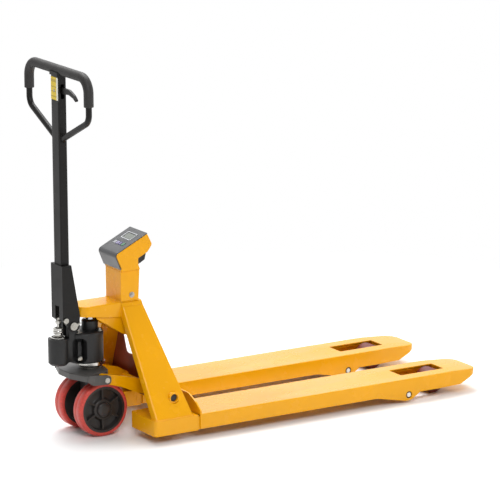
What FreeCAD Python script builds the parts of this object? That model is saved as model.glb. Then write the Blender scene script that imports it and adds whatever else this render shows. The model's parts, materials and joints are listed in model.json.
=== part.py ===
import FreeCAD, Part
import math
import os
import re
import Sketcher

# Weighing hand pallet truck, millimetres. X runs along the forks towards their tips, Y to the left,
# Z up from the floor. Outlines are drawn from the steering axle; each piece's Placement then moves it
# by axle_x, which puts the frame's origin under the middle of the whole truck.

SIZES = {
    # forks
    "fork_span": 555, "fork_width": 180, "fork_height": 82, "shell_start": 251, "shell_length": 1094,
    "shell_sheet": 4, "skirt_bottom": 32, "nose_taper": 150, "nose_drop": 6, "nose_corner": 42, "nose_narrowing": 8, "nose_lift_run": 75, "nose_lift": 34, "window_start": 1062, "window_length": 171, "window_width": 75,
    "lip_height": 54, "lip_sheet": 5,
    # inner forks, on which the load cells stand
    "channel_wall": 5, "channel_gap": 1, "channel_top": 73, "channel_bottom": 30, "heel_rear": 84,
    "heel_inset": 156, "heel_corner": 11, "heel_wall": 6, "heel_top_gap": 3, "heel_bottom": 27, "heel_end": 246,
    # load cells
    "cell_length": 120, "cell_width": 28, "cell_depth": 24, "cell_offset": 50, "cell_spacer": 3,
    "front_cell_x": 872, "rear_cell_x": 300, "cell_foot_radius": 7,
    # load rollers and their levers
    "fork_pin_x": 1060, "fork_pin_z": 27, "fork_pin_radius": 8, "pin_hole_margin": 4, "lobe_depth": 23,
    "roller_x": 1200, "roller_radius": 40, "roller_width": 62, "roller_axle_radius": 8,
    "lever_plate": 5, "lever_gap": 2, "lug_reach": 40.4, "lug_angle": 26, "lug_plate": 5, "lug_play": 1.5,
    # rocker and push rods
    "shaft_x": 176, "shaft_z": 138, "shaft_radius": 13, "arm_thick": 12, "arm_gap": 2,
    "drop_arm": 57, "rod_width": 16, "rod_depth": 12, "rod_pin_radius": 5, "rod_low": 50,
    "bush_wall": 5, "bush_length": 30,
    # A-frame
    "leg_rear": 90, "leg_front_base": 227, "leg_front_top": 167, "leg_inset": 6.5,
    "leg_half_top": 58, "leg_sheet": 6, "leg_bend": 7, "leg_flange": 32,
    "panel_sheet": 5, "panel_window_low": 215, "panel_window_high": 282, "panel_window_half": 104,
    # head beam and its ball seat
    "beam_half": 50, "beam_nose": 60, "beam_sheet": 6, "seat_clearance": 57,
    "seat_radius": 18, "seat_drop": 16,
    # steering wheels
    "wheel_radius": 90, "wheel_width": 50, "wheel_spacing": 124, "tread": 13, "axle_radius": 10,
    "bearing_radius": 23, "bearing_width": 14,
    # yoke
    "yoke_gap": 16, "yoke_thick": 20, "yoke_arm": 12, "yoke_pin_x": 0,
    "yoke_pin_rise": 14, "yoke_pin_radius": 9, "eye_radius": 15, "ring_thick": 6, "ring_radius": 36,
    "neck_radius": 28, "carrier_half": 33, "carrier_length": 48,
    # pump
    "barrel_x": 20, "barrel_radius": 61, "barrel_lift": 20, "gland_radius": 27, "gland_height": 30,
    "ram_radius": 17, "lift": 115, "cylinder_x": 117, "cylinder_radius": 34, "cylinder_height": 106,
    "sleeve_radius": 22, "plunger_radius": 12, "spring_wire": 3, "spring_radius": 15,
    "plunger_stroke": 44.7, "disc_radius": 16, "head_radius": 9,
    # handle
    "tilt_x": 80, "tilt_radius": 8, "thumb_reach": 36, "thumb_angle": 37.5,
    "thumb_radius": 6, "bracket_half": 37.5, "bracket_sheet": 4.5, "bracket_rear": 119,
    "bracket_rise": 203, "mast_depth": 30, "mast_width": 50, "mast_wall": 3,
    "mast_top": 1197, "loop_half": 196, "loop_corner": 48, "loop_z": 1211, "loop_radius": 10, "loop_bend_z": 1072,
    "loop_foot_z": 988, "grip_radius": 16, "grip_low": 1121, "lever_z": 1145, "rod_radius": 3,
    # column and indicator
    "column_half": 50, "column_front": 156, "column_height": 101, "column_sheet": 2.5,
    "indicator_half": 55, "indicator_overhang": 21,
    "indicator_rise": 59, "panel_tilt": 25.5, "panel_length": 133, "wrap": 3, "key_travel": 0.8,
    "lens_start": 81, "lens_length": 26, "lens_width": 50, "key_start": 44, "key_length": 16, "key_width": 13,
    "key_spacing": 17,
}

# Heights and places that follow from the sizes above.
DERIVED = {
    "axle_x": "-(shell_start + shell_length - cylinder_x - cylinder_radius) / 2",
    "fork_y": "(fork_span - fork_width) / 2",
    "shell_end": "(shell_start + shell_length)",
    "channel_half": "(fork_width / 2 - shell_sheet - channel_gap)",
    "heel_top": "(fork_height - heel_top_gap)",
    "channel_end": "(window_start + window_length + 16)",
    "yoke_low": "(2 * wheel_radius + yoke_gap)",
    "yoke_top": "(2 * wheel_radius + yoke_gap + yoke_thick)",
    "pump_base": "(2 * wheel_radius + yoke_gap + yoke_thick + ring_thick)",
    "yoke_pin_z": "(2 * wheel_radius + yoke_pin_rise)",
    "barrel_height": "(lift + 6)",
    "barrel_top": "(pump_base + barrel_height)",
    "gland_top": "(barrel_top + gland_height)",
    "bridge_z": "(gland_top + seat_clearance)",
    "leg_top_z": "(bridge_z - 15)",
    "beam_nose_z": "(bridge_z - 35)",
    "beam_root_z": "(bridge_z - 52)",
    "column_top": "(bridge_z + column_height)",
    "tilt_z": "(barrel_top + 27)",
    "bracket_top": "(tilt_z + bracket_rise)",
    "mast_low": "(tilt_z + 100)",
    "cylinder_top": "(pump_base + cylinder_height)",
    "wheel_y": "(wheel_spacing / 2)",
    "arm_inner": "(wheel_spacing / 2 + wheel_width / 2 + 1)",
    "arm_middle": "(arm_inner + arm_thick / 2)",
    "yoke_inner": "(arm_inner + arm_thick + arm_gap)",
    "yoke_half": "(yoke_inner + yoke_arm)",
    "leg_half_base": "(fork_span / 2 - leg_inset)",
    "shaft_y": "(leg_half_base - (leg_half_base - leg_half_top) * (shaft_z - heel_top)"
               " / (leg_top_z - heel_top))",
    "thumb_x": "(tilt_x + thumb_reach * cos(thumb_angle))",
    "thumb_z": "(tilt_z + thumb_reach * sin(thumb_angle))",
    "plunger_top": "(thumb_z - thumb_radius - 0.3)",
    "disc_z": "(plunger_top - 33)",
    "spring_low": "(disc_z - plunger_stroke - 15)",
    "mast_rear": "(bracket_rear - bracket_sheet)",
    "mast_x": "(bracket_rear - bracket_sheet - mast_depth / 2)",
    "panel_z": "(column_top + indicator_rise)",
    "panel_x": "(leg_rear - indicator_overhang)",
    "arm_length": "sqrt(pow(shaft_x - yoke_pin_x; 2) + pow(yoke_pin_z - shaft_z; 2))",
    "arm_fall": "atan((yoke_pin_z - shaft_z) / (shaft_x - yoke_pin_x))",
    "rocker_swing": "(arm_fall + atan((lift - yoke_pin_z + shaft_z) / (shaft_x - yoke_pin_x)))",
    "rod_eye_x": "(shaft_x - drop_arm * sin(rocker_swing / 2))",
    "rod_eye_z": "(shaft_z - drop_arm * cos(rocker_swing / 2))",
    "lug_x": "(fork_pin_x - lug_reach * sin(lug_angle))",
    "lug_z": "(fork_pin_z + lug_reach * cos(lug_angle))",
}

WORD = re.compile(r"[a-z][a-z_0-9]*")

doc = FreeCAD.newDocument("pallet_scale")
sheet = doc.addObject("Spreadsheet::Sheet", "Sizes")
pieces = []


def fill_sheet():
    for row, (name, value) in enumerate(SIZES.items(), start=1):
        sheet.set(f"A{row}", name)
        sheet.set(f"B{row}", str(value))
        sheet.setAlias(f"B{row}", name)
    doc.recompute()


def bound(text):
    """Write an expression of size names as one that the document can follow."""
    def spell(match):
        word = match.group()
        if word in DERIVED:
            return bound(DERIVED[word])
        return "Sizes." + word if word in SIZES else word
    return WORD.sub(spell, str(text))


def value(text):
    return float(sheet.evalExpression(bound(text).replace("Sizes.", "")))


# ---- sketches -------------------------------------------------------------------------------------

# The axis that each origin plane faces, and its sign.
NORMALS = {"XY_Plane": 1, "XZ_Plane": -1, "YZ_Plane": 1}


def new_sketch(body, plane, middle):
    sketch = body.newObject("Sketcher::SketchObject", "Sketch")
    origin_plane = [item for item in body.Origin.OriginFeatures if item.Role == plane][0]
    sketch.AttachmentSupport = [(origin_plane, "")]
    sketch.MapMode = "FlatFace"
    sketch.setExpression("AttachmentOffset.Base.z", bound(f"{NORMALS[plane]} * ({middle})"))
    return sketch


def pin_point(sketch, geometry, position, point):
    """Hold a sketch point at a place given by two expressions."""
    for kind, text in zip(("DistanceX", "DistanceY"), point):
        index = sketch.addConstraint(Sketcher.Constraint(kind, -1, 1, geometry, position, value(text)))
        sketch.setExpression(f"Constraints[{index}]", bound(text))


def corner_arc(before, corner, after, radius):
    """Return the two tangent points and the middle of a rounded corner."""
    towards_before = (before - corner).normalize()
    towards_after = (after - corner).normalize()
    half = towards_before.getAngle(towards_after) / 2
    reach = radius / math.tan(half)
    bisector = (towards_before + towards_after).normalize()
    centre = corner + bisector * (radius / math.sin(half))
    middle = centre - bisector * radius
    return corner + towards_before * reach, middle, corner + towards_after * reach


def draw_line(sketch, points, closed=True):
    """Draw straight runs through points; a point with a third entry is rounded to that radius."""
    count = len(points)
    places = [FreeCAD.Vector(value(point[0]), value(point[1]), 0) for point in points]
    starts = list(places)
    ends = list(places)
    arcs = {}
    for index, point in enumerate(points):
        if len(point) == 3:
            before = places[index - 1]
            after = places[(index + 1) % count]
            first, middle, last = corner_arc(before, places[index], after, value(point[2]))
            ends[index] = first
            starts[index] = last
            arcs[index] = Part.Arc(first, middle, last)
    runs = count if closed else count - 1
    lines = []
    for index in range(runs):
        following = (index + 1) % count
        lines.append(sketch.addGeometry(Part.LineSegment(starts[index], ends[following])))
    for index, point in enumerate(points):
        incoming = lines[index - 1] if closed or index else None
        outgoing = lines[index] if index < runs else None
        if index in arcs:
            join_arc(sketch, arcs[index], incoming, outgoing, point, places[index])
            continue
        if incoming is not None and outgoing is not None:
            sketch.addConstraint(Sketcher.Constraint("Coincident", incoming, 2, outgoing, 1))
        if outgoing is not None:
            pin_point(sketch, outgoing, 1, point[:2])
        else:
            pin_point(sketch, incoming, 2, point[:2])


def join_arc(sketch, arc, incoming, outgoing, point, corner):
    """Round one corner: an arc tangent to both runs, whose lines still meet at the named corner."""
    bend = sketch.addGeometry(arc.toShape().Curve.trim(arc.toShape().FirstParameter,
                                                       arc.toShape().LastParameter))
    first = sketch.getPoint(bend, 1)
    near_end = sketch.getPoint(incoming, 2)
    bend_start, bend_end = (1, 2) if first.distanceToPoint(near_end) < 1e-6 else (2, 1)
    sketch.addConstraint(Sketcher.Constraint("Tangent", incoming, 2, bend, bend_start))
    sketch.addConstraint(Sketcher.Constraint("Tangent", bend, bend_end, outgoing, 1))
    index = sketch.addConstraint(Sketcher.Constraint("Radius", bend, value(point[2])))
    sketch.setExpression(f"Constraints[{index}]", bound(point[2]))
    mark = sketch.addGeometry(Part.Point(corner), True)
    pin_point(sketch, mark, 1, point[:2])
    sketch.addConstraint(Sketcher.Constraint("PointOnObject", mark, 1, incoming))
    sketch.addConstraint(Sketcher.Constraint("PointOnObject", mark, 1, outgoing))


def draw_circle(sketch, centre, radius):
    place = FreeCAD.Vector(value(centre[0]), value(centre[1]), 0)
    ring = sketch.addGeometry(Part.Circle(place, FreeCAD.Vector(0, 0, 1), value(radius)))
    pin_point(sketch, ring, 3, centre)
    index = sketch.addConstraint(Sketcher.Constraint("Radius", ring, value(radius)))
    sketch.setExpression(f"Constraints[{index}]", bound(radius))


# ---- features -------------------------------------------------------------------------------------

def new_body(label, x="axle_x", y="0", z="0"):
    body = doc.addObject("PartDesign::Body", label)
    body.Label = label
    place(body, x, y, z)
    pieces.append(body)
    return body


def place(item, x, y, z):
    for axis, text in zip("xyz", (x, y, z)):
        item.setExpression(f"Placement.Base.{axis}", bound(text))


def extrude(body, kind, plane, middle, thickness, points=None, circles=()):
    """Pad or Pocket an outline and circles, the same distance each side of a middle plane."""
    sketch = new_sketch(body, plane, middle)
    if points:
        draw_line(sketch, points)
    for centre, radius in circles:
        draw_circle(sketch, centre, radius)
    feature = body.newObject(f"PartDesign::{kind}", kind)
    feature.Profile = sketch
    feature.Midplane = True
    feature.setExpression("Length", bound(thickness))
    doc.recompute()
    return feature


def pad(body, plane, middle, thickness, points=None, circles=()):
    return extrude(body, "Pad", plane, middle, thickness, points, circles)


def pocket(body, plane, middle, thickness, points=None, circles=()):
    before = body.Shape.Volume
    feature = extrude(body, "Pocket", plane, middle, thickness, points, circles)
    if not body.Shape.Volume < before - 0.01:
        raise ValueError(f"{body.Label}: a pocket cuts nothing")
    return feature


def level(low, high):
    """Middle and thickness of a layer between two planes."""
    return f"(({low}) + ({high})) / 2", f"({high}) - ({low})"


def revolve(body, plane, points, axis="H_Axis", kind="Revolution"):
    sketch = new_sketch(body, plane, "0")
    draw_line(sketch, points)
    feature = body.newObject(f"PartDesign::{kind}", kind)
    feature.Profile = sketch
    feature.ReferenceAxis = (sketch, [axis])
    feature.Angle = 360
    doc.recompute()
    return feature


def round_edges(body, radius, chosen, kind="Fillet"):
    """Round or chamfer the edges of the body's tip for which chosen(edge) is true."""
    tip = body.Tip
    names = [f"Edge{index}" for index, edge in enumerate(tip.Shape.Edges, start=1) if chosen(edge)]
    feature = body.newObject(f"PartDesign::{kind}", kind)
    feature.Base = (tip, names)
    feature.setExpression("Radius" if kind == "Fillet" else "Size", bound(radius))
    doc.recompute()
    return feature


def at_height(edge, height):
    """Tell whether a whole edge lies at a height."""
    return abs(edge.BoundBox.ZMin - height) < 0.01 and abs(edge.BoundBox.ZMax - height) < 0.01


def box_points(low_x, high_x, low_y, high_y, radius=None):
    corners = [(low_x, low_y), (high_x, low_y), (high_x, high_y), (low_x, high_y)]
    return [corner + (radius,) for corner in corners] if radius else corners


def slab(label, plane, middle, thickness, points=None, circles=(), **at):
    body = new_body(label, **at)
    pad(body, plane, middle, thickness, points, circles)
    return body


def sides():
    return (("left", 1), ("right", -1))


# ---- fork frame -----------------------------------------------------------------------------------

def across(side, offset):
    """Distance from the truck's middle of a line that lies offset outwards of a fork's own middle."""
    return f"{side} * (fork_y + ({offset}))"


def nose_outline(side, inset):
    """Plan of a fork shell: straight sides, then a taper to a blunt rounded nose."""
    half = f"fork_width / 2 - ({inset})"
    tip_half = f"fork_width / 2 - 12 - ({inset})"
    tip = f"shell_end - ({inset})"
    return [("shell_start", across(side, f"-({half})")),
            ("shell_end - nose_taper", across(side, f"-({half})"), "300"),
            (tip, across(side, f"-({tip_half})"), "nose_corner"),
            (tip, across(side, tip_half), "nose_corner"),
            ("shell_end - nose_taper", across(side, half), "300"),
            ("shell_start", across(side, half))]


def lobe_points(bottom, depth):
    """Side wall's drop round the fork pin, shallow behind it and steep in front."""
    low = f"({bottom}) - ({depth})"
    return [("fork_pin_x - 136", f"{bottom} + 6"), ("fork_pin_x - 126", bottom),
            ("fork_pin_x - 18", low, "16"), ("fork_pin_x + 10", low, "12"),
            ("fork_pin_x + 46", f"{bottom}"), ("fork_pin_x + 54", f"{bottom} + 6")]


def tapered_points(side, rear, front, half):
    """Plan of a straight trough whose last part narrows inside the nose's taper."""
    narrow = f"({half}) - nose_narrowing"
    return [(rear, across(side, f"-({half})")), ("shell_end - nose_taper", across(side, f"-({half})")),
            (front, across(side, f"-({narrow})")), (front, across(side, narrow)),
            ("shell_end - nose_taper", across(side, half)), (rear, across(side, half))]


def fork_shell(name, side):
    """Weighing cover: an inverted trough with a roller window, standing on the load cells."""
    body = slab(f"fork_shell_{name}", "XY_Plane", *level("skirt_bottom", "fork_height"),
                points=nose_outline(side, "0"))
    pocket(body, "XZ_Plane", across(side, "0"), "fork_width + 2",
           [("shell_end - 115", "fork_height"), ("shell_end + 5", "fork_height - nose_drop"),
            ("shell_end + 5", "fork_height + 5"), ("shell_end - 115", "fork_height + 5")])
    pocket(body, "XZ_Plane", across(side, "0"), "fork_width + 2",
           [("shell_end - nose_lift_run", "skirt_bottom"), ("shell_end + 4", "skirt_bottom + nose_lift"),
            ("shell_end + 4", "skirt_bottom - 5"), ("shell_end - nose_lift_run - 5", "skirt_bottom - 5"),
            ("shell_end - nose_lift_run - 5", "skirt_bottom")])
    round_edges(body, "3", lambda edge: edge.BoundBox.ZMin > value("fork_height - nose_drop") - 0.5
                and edge.BoundBox.XMax > value("shell_start") + 1)
    pocket(body, "XY_Plane", *level("skirt_bottom - 1", "fork_height - shell_sheet"),
           points=tapered_points(side, "shell_start - 1", "shell_end - nose_taper + 60",
                                 "fork_width / 2 - shell_sheet"))
    pad_lobes(body, side, "fork_width / 2 - shell_sheet / 2", "shell_sheet", "skirt_bottom", "lobe_depth")
    for wall in ("-1", "1"):
        pocket(body, "XZ_Plane", across(side, f"{wall} * (fork_width / 2 - shell_sheet / 2)"),
               "shell_sheet + 1", circles=[(("fork_pin_x", "fork_pin_z"),
                                            "fork_pin_radius + pin_hole_margin")])
    pocket(body, "XY_Plane", *level("fork_height - shell_sheet - 1", "fork_height + 1"),
           points=box_points("window_start", "window_start + window_length",
                             across(side, "-window_width / 2"), across(side, "window_width / 2"), "4"))
    pad(body, "YZ_Plane", "shell_start + lip_sheet / 2", "lip_sheet",
        [(across(side, "-fork_width / 2"), "fork_height - shell_sheet"),
         (across(side, "fork_width / 2"), "fork_height - shell_sheet"),
         (across(side, "fork_width / 2"), "fork_height + 8"),
         (across(side, "fork_width / 2 - 32"), "fork_height + 0.62 * lip_height", "40"),
         (across(side, "fork_width / 2 - 78"), "fork_height + lip_height", "30"),
         (across(side, "-fork_width / 2"), "fork_height + lip_height")])


def pad_lobes(body, side, wall_offset, wall, bottom, depth):
    for sign in ("-1", "1"):
        pad(body, "XZ_Plane", across(side, f"{sign} * ({wall_offset})"), wall,
            lobe_points(bottom, depth))


def inner_fork(name, side):
    """Load-bearing fork: a hollow heel and a channel that ends past the roller window."""
    body = slab(f"inner_fork_{name}", "XY_Plane", *level("heel_bottom", "heel_top"),
                points=[("heel_rear", across(side, "channel_half"), "heel_corner"), ("heel_end", across(side, "channel_half")),
                        ("heel_end", across(side, "-channel_half")),
                        ("heel_rear + 25", across(side, "-heel_inset / 2"), "10"),
                        ("heel_rear", across(side, "-heel_inset / 2"), "14")])
    pocket(body, "XY_Plane", *level("heel_bottom - 1", "heel_top - heel_wall"),
           points=box_points("heel_rear + heel_wall", "heel_end + 1",
                             across(side, "-heel_inset / 2 + heel_wall + 4"),
                             across(side, "channel_half - heel_wall")))
    pad(body, "XY_Plane", *level("channel_bottom", "channel_top"),
        points=tapered_points(side, "heel_end - 15", "channel_end", "channel_half"))
    pocket(body, "XY_Plane", *level("channel_bottom - 1", "channel_top - channel_wall"),
           points=tapered_points(side, "heel_end - 16", "channel_end - channel_wall",
                                 "channel_half - channel_wall"))
    pad_lobes(body, side, "channel_half - channel_wall / 2", "channel_wall", "channel_bottom",
              "lobe_depth - 5")
    pocket(body, "XZ_Plane", across(side, "0"), "fork_width",
           circles=[(("fork_pin_x", "fork_pin_z"), "fork_pin_radius")])
    pocket(body, "XY_Plane", *level("channel_top - channel_wall - 1", "channel_top + 1"),
           points=box_points("fork_pin_x - 60", "channel_end - channel_wall - 4",
                             across(side, "-48"), across(side, "48")))
    pocket(body, "XY_Plane", *level("channel_top - channel_wall - 1", "heel_top + 1"),
           points=box_points("shaft_x - 50", "heel_end + 70", across(side, "-20"), across(side, "20")))
    for cell_x in ("rear_cell_x + cell_length - 16", "front_cell_x + cell_length - 16"):
        pocket(body, "XY_Plane", *level("channel_top - channel_wall - 1", "channel_top + 1"),
               circles=[((cell_x, across(side, "-cell_offset")), "cell_foot_radius + 3")])


def fork_pins():
    """One pin through each fork carries its roller lever."""
    body = new_body("fork_pins")
    for _name, side in sides():
        pad(body, "XZ_Plane", across(side, "0"), "fork_width - 1",
            circles=[(("fork_pin_x", "fork_pin_z"), "fork_pin_radius")])


def cell_places():
    return [(side, place_x) for _name, side in sides() for place_x in ("rear_cell_x", "front_cell_x")]


def load_cells():
    """Four shear beams, bolted up under the channel at their rear ends."""
    body = new_body("load_cells")
    top = "channel_top - channel_wall - cell_spacer"
    for side, place_x in cell_places():
        pad(body, "XY_Plane", *level(f"{top} - cell_depth", top),
            points=box_points(place_x, f"{place_x} + cell_length",
                              across(side, "-cell_offset - cell_width / 2"),
                              across(side, "-cell_offset + cell_width / 2")))
        pad(body, "XY_Plane", *level(f"{top} - 0.01", "channel_top - channel_wall"),
            points=box_points(place_x, f"{place_x} + 40",
                              across(side, "-cell_offset - cell_width / 2"),
                              across(side, "-cell_offset + cell_width / 2")))
        pocket(body, "XZ_Plane", across(side, "-cell_offset"), "cell_width + 1",
               circles=[((f"{place_x} + 60", f"{top} - cell_depth / 2"), "7"),
                        ((f"{place_x} + 76", f"{top} - cell_depth / 2"), "7")])


def load_cell_feet():
    """Round buttons that carry each shell from the free ends of the cells."""
    body = new_body("load_cell_feet")
    for side, place_x in cell_places():
        pad(body, "XY_Plane", *level("channel_top - channel_wall - cell_spacer",
                                     "fork_height - shell_sheet"),
            circles=[((f"{place_x} + cell_length - 16", across(side, "-cell_offset")),
                      "cell_foot_radius")])


def leg_section(side, half, front, sheet_y):
    """Channel section of a leg: web towards the outside, one flange turned in at the rear."""
    rows = [("leg_rear", half, "leg_bend"), (front, half), (front, f"{half} - {sheet_y}"),
            ("leg_rear + leg_sheet", f"{half} - {sheet_y}"),
            ("leg_rear + leg_sheet", f"{half} - leg_flange"), ("leg_rear", f"{half} - leg_flange")]
    return [(x, f"{side} * ({y})", *radius) for x, y, *radius in rows]


def side_leg(name, side):
    body = new_body(f"side_leg_{name}")
    base = new_sketch(body, "XY_Plane", "heel_top")
    draw_line(base, leg_section(side, "leg_half_base", "leg_front_base", "leg_sheet * 1.18"))
    top = new_sketch(body, "XY_Plane", "leg_top_z")
    draw_line(top, leg_section(side, "leg_half_top", "leg_front_top", "leg_sheet * 1.18"))
    loft = body.newObject("PartDesign::AdditiveLoft", "Loft")
    loft.Profile = base
    loft.Sections = [top]
    loft.Ruled = True
    doc.recompute()
    pocket(body, "XZ_Plane", f"{side} * shaft_y", "60",
           circles=[(("shaft_x", "shaft_z"), "shaft_radius + bush_wall")])


def rocker_bushes():
    """Bushes in the legs that carry the rocker's shaft."""
    body = new_body("rocker_bushes")
    for _name, side in sides():
        middle = f"{side} * (shaft_y - 10)"
        pad(body, "XZ_Plane", middle, "bush_length",
            circles=[(("shaft_x", "shaft_z"), "shaft_radius + bush_wall"),
                     (("shaft_x", "shaft_z"), "shaft_radius + 0.05")])


def frame_bridge():
    """Bent top of the A-frame, joining the two legs under the column."""
    body = slab("frame_bridge", "YZ_Plane", *level("leg_rear", "leg_front_top"), points=[
        ("-leg_half_top", "leg_top_z"), ("-leg_half_top + 9.5", "bridge_z", "14"),
        ("leg_half_top - 9.5", "bridge_z", "14"), ("leg_half_top", "leg_top_z"),
        ("leg_half_top - leg_sheet * 1.18", "leg_top_z"),
        ("leg_half_top - 9.5 - leg_sheet * 0.8", "bridge_z - leg_sheet", "8"),
        ("-(leg_half_top - 9.5 - leg_sheet * 0.8)", "bridge_z - leg_sheet", "8"),
        ("-(leg_half_top - leg_sheet * 1.18)", "leg_top_z")])
    return body


def front_panel():
    """Sheet between the front edges of the legs, with a window and a notch over each push rod."""
    body = new_body("front_panel")
    for height, front, half in (("heel_top", "leg_front_base", "leg_half_base"),
                                ("leg_top_z", "leg_front_top", "leg_half_top")):
        sketch = new_sketch(body, "XY_Plane", height)
        inner = f"{half} - leg_sheet * 1.18 - 0.2"
        draw_line(sketch, box_points(f"{front} - 4 - panel_sheet", f"{front} - 4", f"-({inner})", inner))
        if height == "heel_top":
            base = sketch
    loft = body.newObject("PartDesign::AdditiveLoft", "Loft")
    loft.Profile = base
    loft.Sections = [sketch]
    loft.Ruled = True
    doc.recompute()
    pocket(body, "YZ_Plane", "(leg_front_base + leg_front_top) / 2", "120",
           box_points("-panel_window_half", "panel_window_half", "panel_window_low",
                      "panel_window_high", "12"))
    for _name, side in sides():
        pocket(body, "YZ_Plane", "leg_front_base - 12", "40",
               box_points(across(side, "-rod_width / 2 - 4"), across(side, "rod_width / 2 + 4"),
                          "heel_top - 10", "heel_top + 26"))


def head_beam():
    """Trough over the ram: rounded nose, sloping skirts and two gussets down to the panel."""
    body = slab("head_beam", "XY_Plane", *level("beam_root_z", "bridge_z"), points=[
        ("-beam_nose", "-beam_half", "40"), ("leg_rear - 0.1", "-beam_half"), ("leg_rear - 0.1", "beam_half"),
        ("-beam_nose", "beam_half", "40")])
    pocket(body, "XZ_Plane", "0", "2 * beam_half + 2", [
        ("-beam_nose - 5", "beam_nose_z"), ("-beam_nose + 30", "beam_nose_z"), ("leg_rear + 5", "beam_root_z"),
        ("leg_rear + 5", "beam_root_z - 5"), ("-beam_nose - 5", "beam_root_z - 5")])
    round_edges(body, "4", lambda edge: at_height(edge, value("bridge_z"))
                and edge.BoundBox.XMin < value("leg_rear") - 1)
    inner = "beam_half - beam_sheet"
    pocket(body, "XY_Plane", *level("beam_root_z - 1", "bridge_z - beam_sheet"), points=[
        ("-beam_nose + beam_sheet", f"-({inner})", "34"), ("leg_rear + 1", f"-({inner})"),
        ("leg_rear + 1", inner), ("-beam_nose + beam_sheet", inner, "34")])


def beam_gussets():
    """Triangular plates that brace the beam against the front panel."""
    body = new_body("beam_gussets")
    for _name, side in sides():
        pad(body, "XZ_Plane", f"{side} * (beam_half - beam_sheet - 2.1)", "4",
            [("2", "bridge_z - beam_sheet - 0.1"), ("2", "beam_root_z + 6"), ("98", "bridge_z - 108"),
             (behind_panel("bridge_z - 140"), "bridge_z - 140"),
             (behind_panel("beam_root_z + 6"), "beam_root_z + 6"), ("leg_rear - 0.1", "beam_root_z + 6"),
             ("leg_rear - 0.1", "bridge_z - beam_sheet - 0.1")])


def behind_panel(height):
    """Distance along X of the front panel's rear face at a height."""
    return (f"leg_front_base - 4.3 - panel_sheet - (leg_front_base - leg_front_top)"
            f" * ({height} - heel_top) / (leg_top_z - heel_top)")


def ram_seat():
    """Boss under the beam with the hollow for the ram's ball."""
    body = slab("ram_seat", "XY_Plane", *level("bridge_z - beam_sheet - seat_drop", "bridge_z - beam_sheet"),
                circles=[(("0", "0"), "seat_radius")])
    ball = "ram_radius - 2"
    revolve(body, "XZ_Plane", [("0", "bridge_z - beam_sheet - seat_drop - 1"),
                               (ball, "bridge_z - beam_sheet - seat_drop - 1"),
                               (ball, "bridge_z - beam_sheet - 9"), ("0", "bridge_z - beam_sheet - 5")],
            "V_Axis", "Groove")


# ---- rocker and roller gear -----------------------------------------------------------------------

def rocker():
    """Shaft across the frame with two arms to the yoke and two short arms to the push rods."""
    body = slab("rocker", "XZ_Plane", "0", "2 * shaft_y - 2", circles=[(("shaft_x", "shaft_z"), "shaft_radius")])
    reach = "yoke_pin_radius + lug_play"
    for _name, side in sides():
        middle = f"{side} * arm_middle"
        pad(body, "XZ_Plane", middle, "arm_thick",
            [on_arm("-22", "-13", "9"), on_arm("-22", "16", "12"), on_arm("40", "21", "30"),
             on_arm("arm_length - 30", "27", "40"), on_arm("arm_length", "19"), on_arm("arm_length", "-19"),
             on_arm("arm_length - 50", "-22", "40"), on_arm("60", "-13", "60"), on_arm("18", "-14", "20")])
        pad(body, "XZ_Plane", middle, "arm_thick", circles=[(("shaft_x", "shaft_z"), "shaft_radius + 7")])
        pocket(body, "XZ_Plane", middle, "arm_thick + 1",
               [on_arm(f"-({reach}) - 0.5", f"-({reach})"), on_arm(f"-({reach}) - 0.5", reach),
                on_arm(f"{reach} + 9", reach, "4"), on_arm(f"{reach} + 9", f"-({reach})", "4")])
        for offset in ("-rod_width / 2 - 5", "rod_width / 2 + 5"):
            pad(body, "XZ_Plane", across(side, offset), "8",
                [("shaft_x + 14", "shaft_z - 4"), ("shaft_x - 14", "shaft_z - 4"),
                 ("rod_eye_x - 10", "rod_eye_z - 8", "7"), ("rod_eye_x + 10", "rod_eye_z - 8", "7")])
        pad(body, "XZ_Plane", across(side, "0"), "rod_width + 20",
            circles=[(("rod_eye_x", "rod_eye_z"), "rod_pin_radius")])


def on_arm(along, rise, *radius):
    """Point of a rocker arm: a distance from its yoke pin towards the shaft and a height above it."""
    return (f"yoke_pin_x + ({along}) * cos(arm_fall) + ({rise}) * sin(arm_fall)",
            f"yoke_pin_z - ({along}) * sin(arm_fall) + ({rise}) * cos(arm_fall)") + radius


def push_rod(name, side):
    """Cranked flat bar from the rocker's short arm to the lug of the roller lever."""
    half = "rod_depth / 2"
    body = slab(f"push_rod_{name}", "XZ_Plane", across(side, "0"), "rod_width - 0.6", points=[
        ("rod_eye_x - 12", "rod_eye_z + 9", "8"), ("rod_eye_x + 16", "rod_eye_z + 9", "10"),
        ("shaft_x + 48", f"rod_low + {half}", "20"), ("lug_x - 60", f"rod_low + {half}", "20"),
        ("lug_x - 12", "lug_z + 9", "10"), ("lug_x + 10", "lug_z + 9", "8"),
        ("lug_x + 10", "lug_z - 9", "8"), ("lug_x - 14", "lug_z - 9", "10"),
        ("lug_x - 62", f"rod_low - {half}", "20"), ("shaft_x + 44", f"rod_low - {half}", "20"),
        ("rod_eye_x + 12", "rod_eye_z - 11", "10"), ("rod_eye_x - 12", "rod_eye_z - 9", "8")])
    pocket(body, "XZ_Plane", across(side, "0"), "rod_width + 1",
           circles=[(("rod_eye_x", "rod_eye_z"), "rod_pin_radius + 0.05")])
    pad(body, "XZ_Plane", across(side, "0"), "rod_width + 2 * lug_plate + 3",
        circles=[(("lug_x", "lug_z"), "rod_pin_radius")])


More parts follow.
